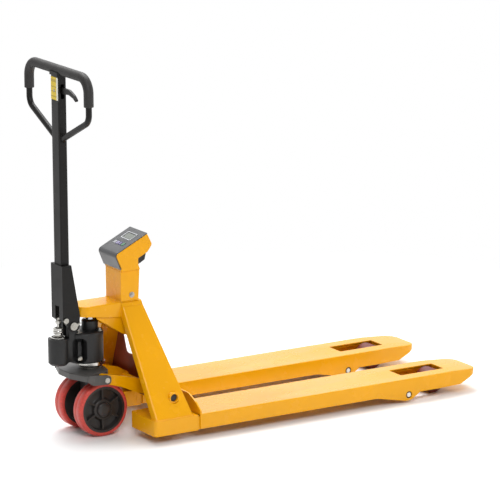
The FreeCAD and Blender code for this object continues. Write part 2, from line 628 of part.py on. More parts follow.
def roller_lever(name, side):
    """Lever that swings the load roller down: cross tube, two plates, two lugs and the roller's axle."""
    plate_y = "roller_width / 2 + lever_gap + lever_plate / 2"
    play = "rod_pin_radius + lug_play"
    reach = "lug_reach + rod_pin_radius + 1"
    body = slab(f"roller_lever_{name}", "XZ_Plane", across(side, "0"), "2 * channel_half - 2 * channel_wall - 2",
                circles=[(("fork_pin_x", "fork_pin_z"), "fork_pin_radius + 6")])
    for sign in ("-1", "1"):
        pad(body, "XZ_Plane", across(side, f"{sign} * ({plate_y})"), "lever_plate",
            [("fork_pin_x - 14", "fork_pin_z - 13", "10"), ("roller_x + 14", "roller_radius - 16", "10"),
             ("roller_x + 16", "roller_radius + 14", "12"), ("fork_pin_x + 20", "fork_pin_z + 20", "20"),
             ("fork_pin_x - 14", "fork_pin_z + 14", "10")])
        middle = across(side, f"{sign} * (rod_width / 2 + lug_plate / 2 + 0.5)")
        pad(body, "XZ_Plane", middle, "lug_plate",
            [on_lug("4", "13"), on_lug("4", "-13"), on_lug(f"{reach} + 3", "-10", "7"),
             on_lug(f"{reach} + 3", "10", "7")])
        pocket(body, "XZ_Plane", middle, "lug_plate + 0.4",
               [on_lug("lug_reach - 14", f"({play})"), on_lug("lug_reach - 14", f"-({play})"),
                on_lug(reach, f"-({play})", "3"), on_lug(reach, play, "3")])
    pocket(body, "XZ_Plane", across(side, "0"), "fork_width",
           circles=[(("fork_pin_x", "fork_pin_z"), "fork_pin_radius + 0.05")])
    pad(body, "XZ_Plane", across(side, "0"), "roller_width + 2 * lever_gap + 2 * lever_plate + 4",
        circles=[(("roller_x", "roller_radius"), "roller_axle_radius")])


def on_lug(out, ahead, *radius):
    """Point of a lug: a distance out from the fork pin and a distance ahead of its middle line."""
    return (f"fork_pin_x - ({out}) * sin(lug_angle) + ({ahead}) * cos(lug_angle)",
            f"fork_pin_z + ({out}) * cos(lug_angle) + ({ahead}) * sin(lug_angle)") + radius


def load_roller(name, side):
    half = "roller_width / 2"
    body = new_body(f"load_roller_{name}", "axle_x + roller_x", across(side, "0"), "roller_radius")
    revolve(body, "YZ_Plane", [
        (f"-({half})", "roller_axle_radius + 0.05"), (f"-({half})", "20"), (f"-({half}) + 3", "22"),
        (f"-({half}) + 3", "28"), (f"-({half})", "30"), (f"-({half})", "roller_radius - 4"),
        (f"-({half}) + 4", "roller_radius"), (f"{half} - 4", "roller_radius"), (half, "roller_radius - 4"),
        (half, "30"), (f"{half} - 3", "28"), (f"{half} - 3", "22"), (half, "20"),
        (half, "roller_axle_radius + 0.05")])


# ---- steering unit --------------------------------------------------------------------------------

def yoke():
    """Cast saddle under the pump whose two side arms reach forward to the rocker's pins."""
    body = slab("yoke", "XY_Plane", *level("yoke_low", "yoke_top"), points=[
        ("-98", "-36", "30"), ("-68", "-yoke_half", "26"), ("-38", "-yoke_half"),
        ("-38", "-arm_inner + 3", "10"), ("26", "-arm_inner + 3", "44"), ("42", "-22", "20"),
        ("42", "22", "20"), ("26", "arm_inner - 3", "44"), ("-38", "arm_inner - 3", "10"),
        ("-38", "yoke_half"), ("-68", "yoke_half", "26"), ("-98", "36", "30")])
    round_edges(body, "3", lambda edge: at_height(edge, value("yoke_top")))
    for _name, side in sides():
        pad(body, "XZ_Plane", f"{side} * (yoke_inner + yoke_arm / 2)", "yoke_arm",
            [("-66", "yoke_top - 1"), ("-70", "yoke_low + 1"), ("-52", "yoke_low - 13", "16"),
             ("yoke_pin_x + eye_radius - 1", "yoke_pin_z - eye_radius + 1", "12"),
             ("yoke_pin_x + eye_radius - 1", "yoke_pin_z + eye_radius", "12"),
             ("yoke_pin_x - 12", "yoke_pin_z + eye_radius + 2", "14"), ("-34", "yoke_top - 1")])
        pocket(body, "XZ_Plane", f"{side} * (yoke_inner + yoke_arm / 2)", "yoke_arm + 1",
               circles=[(("yoke_pin_x", "yoke_pin_z"), "yoke_pin_radius")])
    pocket(body, "XY_Plane", *level("yoke_low - 1", "yoke_top + 1"), circles=[(("0", "0"), "neck_radius + 0.05")])


def yoke_pins():
    """Headed pins that join the yoke's arms to the rocker's arms."""
    body = new_body("yoke_pins")
    for _name, side in sides():
        low = "arm_inner + 0.5"
        high = "yoke_half + 1"
        pad(body, "XZ_Plane", f"{side} * (({low}) + ({high})) / 2", f"({high}) - ({low})",
            circles=[(("yoke_pin_x", "yoke_pin_z"), "yoke_pin_radius")])


def thrust_ring():
    slab("thrust_ring", "XY_Plane", *level("yoke_top", "pump_base - 0.1"),
         circles=[(("0", "0"), "ring_radius"), (("0", "0"), "neck_radius + 0.3")])


def wheel_carrier():
    """Block under the pump that holds the steering axle, with the neck it turns on."""
    body = slab("wheel_carrier", "XY_Plane", *level("wheel_radius - 24", "yoke_low - 8"),
                points=box_points("-carrier_length / 2", "carrier_length / 2", "-carrier_half",
                                  "carrier_half", "10"))
    pad(body, "XY_Plane", *level("yoke_low - 8.1", "pump_base"), circles=[(("0", "0"), "neck_radius")])
    pocket(body, "XZ_Plane", "0", "2 * carrier_half + 2",
           circles=[(("0", "wheel_radius"), "axle_radius")])


def steering_axle():
    body = slab("steering_axle", "XZ_Plane", "0", "wheel_spacing + wheel_width + 6",
                circles=[(("0", "wheel_radius"), "axle_radius")])
    round_edges(body, "1.5", lambda edge: edge.Curve.TypeId == "Part::GeomCircle", "Chamfer")


def wheel_clips():
    """Retaining rings on the ends of the steering axle."""
    body = new_body("wheel_clips")
    for _name, side in sides():
        pad(body, "XZ_Plane", f"{side} * (wheel_y + wheel_width / 2 - 5)", "2",
            circles=[(("0", "wheel_radius"), "axle_radius + 5"), (("0", "wheel_radius"), "axle_radius")])


def wheel_at(label, side):
    return new_body(label, "axle_x", f"{side} * wheel_y", "wheel_radius")


def tyre(name, side):
    half = "wheel_width / 2"
    body = wheel_at(f"tyre_{name}", side)
    inner = "wheel_radius - tread"
    revolve(body, "YZ_Plane", [
        (f"-({half}) + 1", inner), (f"-({half})", "wheel_radius - 7", "3"), (f"-({half}) + 5", "wheel_radius", "5"),
        (f"{half} - 5", "wheel_radius", "5"), (half, "wheel_radius - 7", "3"), (f"{half} - 1", inner)])


def wheel_rim(name, side):
    """Cast rim: outer ring, web, hub, six ribs and a domed cap over the outer bearing."""
    half = "wheel_width / 2"
    ring = "wheel_radius - tread"
    out = side
    body = wheel_at(f"wheel_rim_{name}", side)
    revolve(body, "YZ_Plane", [
        (f"{out} * (1 - {half})", ring), (f"{out} * (1 - {half})", f"{ring} - 8"), (f"{out} * (-6)", f"{ring} - 11"),
        (f"{out} * (-6)", "bearing_radius + 8"), (f"{out} * (-{half} + 2)", "bearing_radius + 6"),
        (f"{out} * (-{half} + 2)", "bearing_radius"), (f"{out} * (bearing_width + 2 - {half})", "bearing_radius"),
        (f"{out} * (bearing_width + 2 - {half})", "axle_radius + 3"),
        (f"{out} * ({half} - bearing_width - 6)", "axle_radius + 3"),
        (f"{out} * ({half} - bearing_width - 6)", "bearing_radius"), (f"{out} * ({half} - 6)", "bearing_radius"),
        (f"{out} * ({half} - 6)", "bearing_radius + 6", "3"), (f"{out} * 4", "bearing_radius + 14", "6"),
        (f"{out} * 4", f"{ring} - 11"), (f"{out} * ({half} - 1)", f"{ring} - 8"), (f"{out} * ({half} - 1)", ring)])
    rib = pad(body, "XZ_Plane", f"{out} * 5", "24",
              [("-3", "bearing_radius + 4"), ("3", "bearing_radius + 4"), ("3", f"{ring} - 9"), ("-3", f"{ring} - 9")])
    pattern = body.newObject("PartDesign::PolarPattern", "Pattern")
    pattern.Originals = [rib]
    pattern.Axis = ([item for item in body.Origin.OriginFeatures if item.Role == "Y_Axis"][0], [""])
    pattern.Angle = 360
    pattern.Occurrences = 6
    body.Tip = pattern
    doc.recompute()
    revolve(body, "YZ_Plane", [
        (f"{out} * ({half} - 6)", "bearing_radius - 4"), (f"{out} * ({half} - 6)", "bearing_radius + 2"),
        (f"{out} * ({half} + 2)", "bearing_radius - 1", "4"), (f"{out} * ({half} + 6)", "14", "8"),
        (f"{out} * ({half} + 6)", "0"), (f"{out} * ({half} + 4)", "0"), (f"{out} * ({half} + 4)", "13")])


def wheel_bearings(name, side):
    body = wheel_at(f"wheel_bearings_{name}", side)
    half = "wheel_width / 2"
    for sign in (1, -1):
        inset = 6 if sign == side else 2
        pad(body, "XZ_Plane", f"{sign} * ({half} - {inset} - bearing_width / 2)", "bearing_width",
            circles=[(("0", "0"), "bearing_radius"), (("0", "0"), "axle_radius + 0.05")])


def pump_body():
    """Pump casting: reservoir barrel, side cylinder, gland, valve pocket and the handle's two ears."""
    body = slab("pump_body", "XY_Plane", *level("pump_base + barrel_lift", "barrel_top"),
                circles=[(("-barrel_x", "0"), "barrel_radius")])
    round_edges(body, "6", lambda edge: edge.Curve.TypeId == "Part::GeomCircle")
    pad(body, "XY_Plane", *level("pump_base + 18", "cylinder_top"),
        circles=[(("-cylinder_x", "0"), "cylinder_radius")])
    round_edges(body, "7", lambda edge: at_height(edge, value("pump_base + 18"))
                and edge.BoundBox.XMin < value("-cylinder_x"), "Chamfer")
    pad(body, "XY_Plane", *level("pump_base + barrel_lift + 8", "cylinder_top"),
        points=box_points("-cylinder_x", "-barrel_x", "-28", "28"))
    pad(body, "XY_Plane", *level("pump_base", "pump_base + barrel_lift + 1"), circles=[(("0", "0"), "38")])
    pad(body, "XY_Plane", *level("barrel_top - 1", "gland_top"), circles=[(("0", "0"), "gland_radius")])
    for _name, side in sides():
        pad(body, "XZ_Plane", f"{side} * 21", "18",
            [("-tilt_x - 13", "cylinder_top - 8"), ("-tilt_x + 17", "cylinder_top - 8"),
             ("-tilt_x + 17", "tilt_z + 17", "15"), ("-tilt_x - 13", "tilt_z + 17", "12")])
    pocket(body, "XZ_Plane", "0", "80", circles=[(("-tilt_x", "tilt_z"), "tilt_radius")])
    pocket(body, "XY_Plane", *level("barrel_top - lift - 3", "gland_top + 1"),
           circles=[(("0", "0"), "ram_radius + 0.05")])
    pocket(body, "XY_Plane", *level("spring_low - 4 - plunger_stroke", "cylinder_top + 1"),
           circles=[(("-cylinder_x", "0"), "sleeve_radius")])
    pocket(body, "XZ_Plane", "-50", "60",
           [("-80", "pump_base + 24", "17"), ("-42", "pump_base + 24", "17"),
            ("-42", "pump_base + 106", "17"), ("-80", "pump_base + 106", "17")])
    pocket(body, "XZ_Plane", "-17", "8", circles=[(("-61.5", "pump_base + 39"), "5.05")])


def pump_cylinder():
    """Steel sleeve in the casting, bored for the plunger, with a recess for its spring."""
    body = slab("pump_cylinder", "XY_Plane", *level("spring_low - 4 - plunger_stroke", "cylinder_top"),
                circles=[(("-cylinder_x", "0"), "sleeve_radius")])
    pocket(body, "XY_Plane", *level("spring_low", "cylinder_top + 1"),
           circles=[(("-cylinder_x", "0"), "disc_radius + 2")])
    pocket(body, "XY_Plane", *level("spring_low - 3 - plunger_stroke", "cylinder_top"),
           circles=[(("-cylinder_x", "0"), "plunger_radius + 0.05")])


def pump_plunger():
    """Plunger with its spring disc, neck and the round head that the handle presses."""
    body = slab("pump_plunger", "XY_Plane", *level("spring_low - 1", "disc_z"),
                circles=[(("-cylinder_x", "0"), "plunger_radius")])
    pad(body, "XY_Plane", *level("disc_z - 0.01", "disc_z + 6"), circles=[(("-cylinder_x", "0"), "disc_radius")])
    pad(body, "XY_Plane", *level("disc_z + 5.9", "plunger_top - 7.9"), circles=[(("-cylinder_x", "0"), "5")])
    pad(body, "XY_Plane", *level("plunger_top - 8", "plunger_top"), circles=[(("-cylinder_x", "0"), "head_radius")])


def plunger_spring():
    """Coil between the sleeve's recess and the plunger's disc."""
    low = value("spring_low")
    high = value("disc_z")
    wire = value("spring_wire") / 2
    height = high - low - 2 * wire
    coil = Part.makeHelix(height / 5, height, value("spring_radius"))
    start = FreeCAD.Vector(value("spring_radius"), 0, 0)
    profile = Part.Wire([Part.makeCircle(wire, start, coil.Edges[0].tangentAt(coil.Edges[0].FirstParameter))])
    shape = Part.Wire(coil.Edges).makePipeShell([profile], True, True)
    item = doc.addObject("Part::Feature", "plunger_spring")
    item.Label = "plunger_spring"
    item.Shape = shape
    place(item, "axle_x - cylinder_x", "0", "spring_low + spring_wire / 2")
    pieces.append(item)


def ram():
    """Lifting ram with a rounded head that bears in the beam's seat."""
    top = "bridge_z - beam_sheet - 9 - 0.3"
    body = slab("ram", "XY_Plane", *level("barrel_top - lift - 2", f"{top} - 12"),
                circles=[(("0", "0"), "ram_radius")])
    pad(body, "XY_Plane", *level(f"{top} - 12.1", top), circles=[(("0", "0"), "ram_radius - 2.3")])


def valve_lever():
    """Release lever inside the casting's side pocket, pulled by the rod in the handle."""
    body = slab("valve_lever", "XZ_Plane", "-34", "10",
                [("-68", "pump_base + 32", "6"), ("-55", "pump_base + 32", "6"), ("-52", "pump_base + 70", "12"),
                 ("-56", "pump_base + 94", "5"), ("-66", "pump_base + 94", "5"), ("-66", "pump_base + 70", "12")])
    pad(body, "XZ_Plane", "-28", "26", circles=[(("-61.5", "pump_base + 39"), "5")])


# ---- handle ---------------------------------------------------------------------------------------

def handle_bracket():
    """Channel at the foot of the handle: closed at the rear, with a notch over the plunger."""
    inner = "bracket_half - bracket_sheet"
    body = slab("handle_bracket", "XZ_Plane", "0", "2 * bracket_half", points=[
        ("-bracket_rear", "tilt_z + 22"), ("-bracket_rear", "bracket_top"),
        ("-bracket_rear + 34", "bracket_top"), ("-tilt_x + 24", "tilt_z + 34"),
        ("-tilt_x + 22", "tilt_z - 20", "20"), ("-tilt_x - 18", "tilt_z - 18", "18"),
        ("-tilt_x - 22", "tilt_z + 8")])
    pocket(body, "XZ_Plane", "0", f"2 * ({inner})", [
        ("-bracket_rear + bracket_sheet", "tilt_z - 40"), ("-bracket_rear + bracket_sheet", "bracket_top - 5"),
        ("0", "bracket_top - 5"), ("0", "tilt_z - 40")])
    pocket(body, "YZ_Plane", "-bracket_rear", "20",
           box_points("-13", "13", "tilt_z", "tilt_z + 66"))
    pocket(body, "XY_Plane", *level("bracket_top - 6", "bracket_top + 1"),
           points=box_points("-mast_rear", "-mast_rear + mast_depth", "-mast_width / 2", "mast_width / 2"))
    pocket(body, "XZ_Plane", "0", "2 * bracket_half + 2", circles=[(("-tilt_x", "tilt_z"), "tilt_radius + 0.05")])
    pocket(body, "XZ_Plane", "0", "2 * bracket_half + 2", circles=[(("-thumb_x", "thumb_z"), "thumb_radius")])


def thumb_pin():
    """Headed pin across the bracket that presses the plunger down."""
    body = slab("thumb_pin", "XZ_Plane", "0", "2 * bracket_half + 6", circles=[(("-thumb_x", "thumb_z"), "thumb_radius")])
    pad(body, "XZ_Plane", "-bracket_half - 3", "5", circles=[(("-thumb_x", "thumb_z"), "thumb_radius + 3")])


def tilt_pin():
    """Pin through the ears on which the handle tilts, with a turned head and a washer."""
    body = slab("tilt_pin", "XZ_Plane", "0", "2 * bracket_half + 10", circles=[(("-tilt_x", "tilt_z"), "tilt_radius")])
    pad(body, "XZ_Plane", "bracket_half + 5", "6", circles=[(("-tilt_x", "tilt_z"), "tilt_radius + 5")])


def tilt_clip():
    """Split clip through the free end of the tilt pin."""
    body = slab("tilt_clip", "XZ_Plane", "-bracket_half - 2.5", "3",
                circles=[(("-tilt_x", "tilt_z"), "tilt_radius + 5"), (("-tilt_x", "tilt_z"), "tilt_radius")])
    pad(body, "XZ_Plane", "-bracket_half - 2.5", "2.6",
        [("-tilt_x + 11", "tilt_z - 3"), ("-tilt_x + 26", "tilt_z + 8"), ("-tilt_x + 23", "tilt_z + 12"),
         ("-tilt_x + 8", "tilt_z + 6")])


def mast_tube():
    """Rectangular draw-bar tube with a saddle for the grip and a slot for the control lever."""
    body = slab("mast_tube", "XY_Plane", *level("mast_low", "mast_top"),
                points=box_points("-mast_rear", "-mast_rear + mast_depth", "-mast_width / 2",
                                  "mast_width / 2", "5"))
    pocket(body, "XY_Plane", *level("mast_low - 1", "mast_top - 5"),
           points=box_points("-mast_rear + mast_wall", "-mast_rear + mast_depth - mast_wall",
                             "-mast_width / 2 + mast_wall", "mast_width / 2 - mast_wall", "2"))
    pad(body, "XY_Plane", *level("mast_top - 3", "loop_z - 5"),
        points=box_points("-mast_rear - 4", "-mast_rear + mast_depth + 4", "-mast_width / 2 - 5",
                          "mast_width / 2 + 5", "7"))
    pocket(body, "XZ_Plane", "0", "mast_width + 12", circles=[(("-mast_x", "loop_z"), "grip_radius + 0.1")])
    pocket(body, "XZ_Plane", "-mast_width / 2", "2 * mast_wall + 2",
           box_points("-mast_x - 6", "-mast_x + 6", "lever_z - 26", "lever_z + 22", "3"))
    pocket(body, "YZ_Plane", "-mast_x", "mast_depth + 4", circles=[(("0", "lever_z"), "4")])


def loop_path():
    return [("mast_width / 2 - 2", "loop_foot_z"), ("loop_half", "loop_bend_z", "38"),
            ("loop_half", "loop_z", "loop_corner"), ("-loop_half", "loop_z", "loop_corner"),
            ("-loop_half", "loop_bend_z", "38"), ("-mast_width / 2 + 2", "loop_foot_z")]


def grip_path():
    return [("loop_half", "grip_low"), ("loop_half", "loop_z", "loop_corner"), ("-loop_half", "loop_z", "loop_corner"),
            ("-loop_half", "grip_low")]


def sweep(body, points, radii, profile_plane, profile_at, centre):
    """Sweep circles along a rounded path in the plane of the handle."""
    path = new_sketch(body, "YZ_Plane", "-mast_x")
    draw_line(path, points, closed=False)
    profile = new_sketch(body, profile_plane, profile_at)
    for radius in radii:
        draw_circle(profile, centre, radius)
    tube = body.newObject("PartDesign::AdditivePipe", "Pipe")
    tube.Profile = profile
    tube.Spine = path
    tube.Transition = "Right corner"
    doc.recompute()


def handle_loop():
    """Round tube bent to the grip's shape and welded to both sides of the mast."""
    body = new_body("handle_loop")
    sweep(body, loop_path(), ["loop_radius"], "XZ_Plane", "0", ("-mast_x", "loop_z"))
    return body


def handle_grip():
    """Rubber sleeve over the top bar and down both sides."""
    body = new_body("handle_grip")
    sweep(body, grip_path(), ["grip_radius", "loop_radius"], "XY_Plane", "grip_low", ("-mast_x", "loop_half"))
    return body


def release_rod():
    """Rod inside the mast between the control lever and the pump's release lever."""
    slab("release_rod", "XY_Plane", *level("bracket_top - 110", "lever_z - 24"),
         circles=[(("-mast_x", "0"), "rod_radius")])


def lever_pin():
    slab("lever_pin", "YZ_Plane", "-mast_x", "mast_depth + 4", circles=[(("0", "lever_z"), "4")])


def control_lever():
    """Flat lever that leaves the mast's right side and curls down at its end."""
    body = slab("control_lever", "YZ_Plane", "-mast_x", "8", points=[
        ("12", "lever_z - 9", "6"), ("12", "lever_z + 9", "6"), ("-30", "lever_z + 12", "30"),
        ("-78", "lever_z + 11", "34"), ("-106", "lever_z - 1", "18"), ("-124", "lever_z - 16", "4"),
        ("-116", "lever_z - 21", "3"), ("-98", "lever_z - 11", "14"), ("-72", "lever_z - 5", "26"),
        ("-30", "lever_z - 9", "30")])
    pocket(body, "YZ_Plane", "-mast_x", "10", circles=[(("0", "lever_z"), "4.05")])


# ---- column and indicator -------------------------------------------------------------------------

def column():
    """Sheet-metal post that carries the indicator."""
    body = slab("column", "XZ_Plane", "0", "2 * column_half", points=[
        ("leg_rear", "bridge_z"), ("column_front", "bridge_z"), ("column_front + 5", "column_top"),
        ("leg_rear", "column_top")])
    pocket(body, "XZ_Plane", "0", "2 * column_half - 2 * column_sheet", [
        ("leg_rear + column_sheet", "bridge_z - 1"), ("column_front - column_sheet", "bridge_z - 1"),
        ("column_front + 5 - column_sheet", "column_top - column_sheet"),
        ("leg_rear + column_sheet", "column_top - column_sheet")])


def column_screws():
    body = new_body("column_screws")
    for _name, side in sides():
        pad(body, "XZ_Plane", f"{side} * (column_half + 1)", "2",
            circles=[(("column_front - 26", "bridge_z + 20"), "8")])


def on_panel(along, rise, *radius):
    """Point of the indicator's sloping face: a distance up the slope and a height above it."""
    return (f"panel_x + ({along}) * cos(panel_tilt) - ({rise}) * sin(panel_tilt)",
            f"panel_z + ({along}) * sin(panel_tilt) + ({rise}) * cos(panel_tilt)") + radius


def slope_box(start, end, low, high):
    return [on_panel(start, low), on_panel(end, low), on_panel(end, high), on_panel(start, high)]


def indicator_housing():
    """Painted head of the column, cut on the slant for the indicator."""
    body = slab("indicator_housing", "XZ_Plane", "0", "2 * indicator_half", points=[
        ("leg_rear", "column_top"), ("leg_rear", "column_top + 12", "8"), on_panel("0", "0", "12"),
        on_panel("panel_length", "0", "5"), on_panel("panel_length", "-42", "10"), ("column_front + 34", "panel_z - 4", "8"),
        ("column_front - 1", "panel_z - 21"), ("column_front - 1", "column_top + 18"),
        ("column_front + 5", "column_top")])
    pocket(body, "XZ_Plane", "0", "2 * indicator_half - 2 * column_sheet - 4", [
        ("leg_rear + 5", "column_top + 6"), ("leg_rear + 5", "column_top + 22"), on_panel("14", "-10"),
        on_panel("panel_length - 6", "-10"), on_panel("panel_length - 6", "-30"),
        ("column_front - 10", "panel_z - 22"), ("column_front - 10", "column_top + 6")])


def key_places():
    return (("tare", "-1.5 * key_spacing"), ("zero", "-0.5 * key_spacing"), ("print", "0.5 * key_spacing"),
            ("power", "1.5 * key_spacing"))


def indicator_panel():
    """Dark sheet that wraps the sloping face and turns down behind it, with openings."""
    body = slab("indicator_panel", "XZ_Plane", "0", "2 * indicator_half + 3", points=[
        ("leg_rear - 3.4", "column_top + 7"), ("leg_rear - 0.6", "column_top + 10"),
        on_panel("-0.6", "0.2", "11"), on_panel("panel_length + 0.2", "0.2"),
        on_panel("panel_length + 0.2", "wrap"), on_panel("-3", "wrap", "14")])
    slope_window(body, "lens_start", "lens_start + lens_length", "-lens_width / 2", "lens_width / 2")
    for _key, middle in key_places():
        slope_window(body, "key_start", "key_start + key_length", f"{middle} - key_width / 2",
                     f"{middle} + key_width / 2")


def slope_window(body, start, end, low_y, high_y):
    return pocket(body, "XZ_Plane", f"(({low_y}) + ({high_y})) / 2", f"({high_y}) - ({low_y})",
                  slope_box(start, end, "-0.5", "wrap + 5"))


def display_lens():
    slab("display_lens", "XZ_Plane", "0", "lens_width - 1",
         slope_box("lens_start + 0.5", "lens_start + lens_length - 0.5", "0.2", "wrap - 0.8"))


def key(name, middle):
    slab(f"key_{name}", "XZ_Plane", middle, "key_width - 1",
         slope_box("key_start + 0.5", "key_start + key_length - 0.5", "key_travel + 0.4", "wrap + 1.2"))


def battery_box():
    """Battery case hung under the overhang of the indicator's head."""
    slab("battery_box", "XZ_Plane", "0", "2 * column_half - 4", points=[
        ("column_front + 0.5", "panel_z - 44"), ("column_front + 26", "panel_z - 30", "4"),
        ("column_front + 32", "panel_z - 5.5"), ("column_front - 0.5", "panel_z - 21.5")])


# ---- assembly -------------------------------------------------------------------------------------

def build():
    for name, side in sides():
        fork_shell(name, side)
        inner_fork(name, side)
        side_leg(name, side)
        push_rod(name, side)
        roller_lever(name, side)
        load_roller(name, side)
        tyre(name, side)
        wheel_rim(name, side)
        wheel_bearings(name, side)
    for make in (fork_pins, load_cells, load_cell_feet, rocker_bushes, frame_bridge, front_panel,
                 head_beam, beam_gussets, ram_seat, rocker, yoke, yoke_pins, thrust_ring, wheel_carrier,
                 steering_axle, wheel_clips, pump_body, pump_cylinder, pump_plunger, plunger_spring,
                 ram, valve_lever, handle_bracket, thumb_pin, tilt_pin, tilt_clip, mast_tube, handle_loop,
                 handle_grip, release_rod, lever_pin, control_lever, column, column_screws,
                 indicator_housing, indicator_panel, display_lens, battery_box):
        make()
    for name, middle in key_places():
        key(name, middle)


def check():
    doc.recompute()
    faults = [item.Name for item in doc.Objects if {"Invalid", "Error"} & set(item.State)]
    for item in pieces:
        if item.Shape.isNull() or not item.Shape.isValid() or not item.Shape.Solids:
            faults.append(f"{item.Label} has no valid solid")
    if faults:
        raise ValueError("; ".join(faults))


def export():
    os.makedirs("parts", exist_ok=True)
    for item in pieces:
        item.Shape.exportStep(f"parts/{item.Label}.step")


fill_sheet()
build()
check()
export()
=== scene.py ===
import json
import math

import bmesh
import bpy
from mathutils import Matrix, Vector

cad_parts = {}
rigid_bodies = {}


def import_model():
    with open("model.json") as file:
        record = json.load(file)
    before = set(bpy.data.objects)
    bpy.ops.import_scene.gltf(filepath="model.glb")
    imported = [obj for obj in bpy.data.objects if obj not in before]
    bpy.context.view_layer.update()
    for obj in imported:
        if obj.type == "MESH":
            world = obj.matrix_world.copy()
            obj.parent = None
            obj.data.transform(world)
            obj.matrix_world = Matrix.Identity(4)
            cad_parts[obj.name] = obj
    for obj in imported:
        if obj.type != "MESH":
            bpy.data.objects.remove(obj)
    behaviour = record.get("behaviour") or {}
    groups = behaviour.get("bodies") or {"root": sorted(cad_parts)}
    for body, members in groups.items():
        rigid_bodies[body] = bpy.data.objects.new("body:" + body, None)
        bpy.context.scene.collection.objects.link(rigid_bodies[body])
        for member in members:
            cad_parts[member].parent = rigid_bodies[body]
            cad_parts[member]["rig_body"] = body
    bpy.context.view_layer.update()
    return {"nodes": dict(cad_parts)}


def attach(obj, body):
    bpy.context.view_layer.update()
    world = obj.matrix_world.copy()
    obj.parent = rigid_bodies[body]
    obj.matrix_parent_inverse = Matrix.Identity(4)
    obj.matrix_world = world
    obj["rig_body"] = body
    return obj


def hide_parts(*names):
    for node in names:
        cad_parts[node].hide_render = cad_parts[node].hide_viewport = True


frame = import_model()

bl_info = {
    "name": "Pallet scale",
    "version": (1, 0, 0),
    "blender": (4, 5, 0),
    "location": "View3D > Sidebar > Pallet scale",
    "description": "Finishes a weighing hand pallet truck: paint, castings, wheels, handle and indicator",
    "category": "Object",
}

MM = 0.001
SIDES = (("left", 1), ("right", -1))
KEYS = ("tare", "zero", "print", "power")

# Places that several pieces share, in metres.
AXLE_X = -0.597
PLUNGER_X = AXLE_X - 0.117
PUMP_TOP = 0.3430
FORK_Y = 0.1875
WHEEL_Y = 0.062
FOOT_TOP = 0.0795
BRIDGE_TOP = 0.4302
PANEL_TILT = math.radians(25.5)
PANEL_FOOT = Vector((AXLE_X + 0.069, 0.0, 0.590))
LABEL_LOW, LABEL_HIGH = 1.112, 1.190

# The camera's place, its degrees round the upright, above the horizon and of roll, and its lens in mm.
CAMERA_PLACE = (-7.26468, -11.97861, 3.84593)
CAMERA_TURNS = (-31.287, 13.323, 0.4409)
CAMERA_LENS = 313.25

# Weld ripples follow one another at this share of the bead's width.
RIPPLE_SPACING = 0.55
# Edges that turn more than this many degrees are rounded.
ROUNDED_ABOVE = 38.0


def hex_colour(text):
    """Turn an sRGB hex value into the linear colour that shaders use."""
    values = [int(text[i:i + 2], 16) / 255 for i in (0, 2, 4)]
    return [v / 12.92 if v <= 0.04045 else ((v + 0.055) / 1.055) ** 2.4 for v in values]


# ---- settings --------------------------------------------------------------------------------------

def colour_setting(name, description, value):
    """Colour property with an sRGB hex default."""
    return bpy.props.FloatVectorProperty(name=name, description=description, subtype="COLOR", size=3,
                                         min=0.0, max=1.0, default=hex_colour(value))


def length_setting(name, description, value):
    """Length property in metres."""
    return bpy.props.FloatProperty(name=name, description=description, default=value, min=0.0,
                                   unit="LENGTH", subtype="DISTANCE")


class TruckColours(bpy.types.PropertyGroup):
    frame_paint: colour_setting("Frame paint", "Powder coat on the forks, frame, column and rocker", "EAA400")
    handle_paint: colour_setting("Handle paint", "Satin paint on the handle and its bracket", "100E0C")
    pump_paint: colour_setting("Pump paint", "Paint on the pump casting", "131313")
    yoke_paint: colour_setting("Yoke paint", "Paint on the cast yoke", "4A4846")
    tread: colour_setting("Tread", "Polyurethane of the steering wheels", "C8463C")
    # The dark red-brown is partly the rollers' own dark red and partly painted shade from inside and under
    # the forks.
    roller: colour_setting("Roller", "Polyurethane of the load rollers", "6A2014")
    panel: colour_setting("Panel", "Film on the indicator's face", "3A3B3E")
    # Painted shade: the front panel's inside is the frame's orange paint in shadow, drawn here as a red-brown
    # paint.
    inner_panel_shade: colour_setting("Inner panel shade", "Red-brown painted shade on the front panel's inside", "7C3214")
    label: colour_setting("Label", "Ground colour of the mast's label", "DDBE12")


class TruckSizes(bpy.types.PropertyGroup):
    plate_edge: length_setting("Plate edge", "Rounding of the bent and cut plates", 0.0016)
    casting_edge: length_setting("Casting edge", "Rounding of the cast pieces", 0.0022)
    weld_bead: length_setting("Weld bead", "Width of the weld beads", 0.006)
    bolt_head: length_setting("Bolt head", "Width across the corners of the pump's bolt heads", 0.015)
    floor: length_setting("Floor", "Width of the floor under the truck", 60.0)


# ---- materials -------------------------------------------------------------------------------------

def add_node(tree, kind, settings=None, links=None):
    """Add one node with its settings, and link sockets of other nodes into it."""
    node = tree.nodes.new(kind)
    for name, value in (settings or {}).items():
        if isinstance(name, str) and hasattr(node, name):
            setattr(node, name, value)
        else:
            node.inputs[name].default_value = value
    for name, socket in (links or {}).items():
        tree.links.new(socket, node.inputs[name])
    return node


def rgba(colour):
    """Colour with full opacity."""
    return (*colour[:3], 1.0)


def shade(colour, factor):
    """Lighter or darker version of a colour."""
    return tuple(min(1.0, channel * factor) for channel in colour[:3])


def ramp(tree, source, stops):
    """Colour a factor through stops of (position, colour)."""
    node = add_node(tree, "ShaderNodeValToRGB", links={"Fac": source})
    elements = node.color_ramp.elements
    elements[0].position, elements[0].color = stops[0][0], rgba(stops[0][1])
    elements[1].position, elements[1].color = stops[-1][0], rgba(stops[-1][1])
    for position, colour in stops[1:-1]:
        elements.new(position).color = rgba(colour)
    return node.outputs["Color"]


def noise(tree, place, size_mm, detail=3.0, rough=0.55):
    """Noise whose largest patches are a real size in millimetres across."""
    return add_node(tree, "ShaderNodeTexNoise",
                    {"Scale": 1 / (size_mm * MM), "Detail": detail, "Roughness": rough},
                    {"Vector": place}).outputs["Fac"]


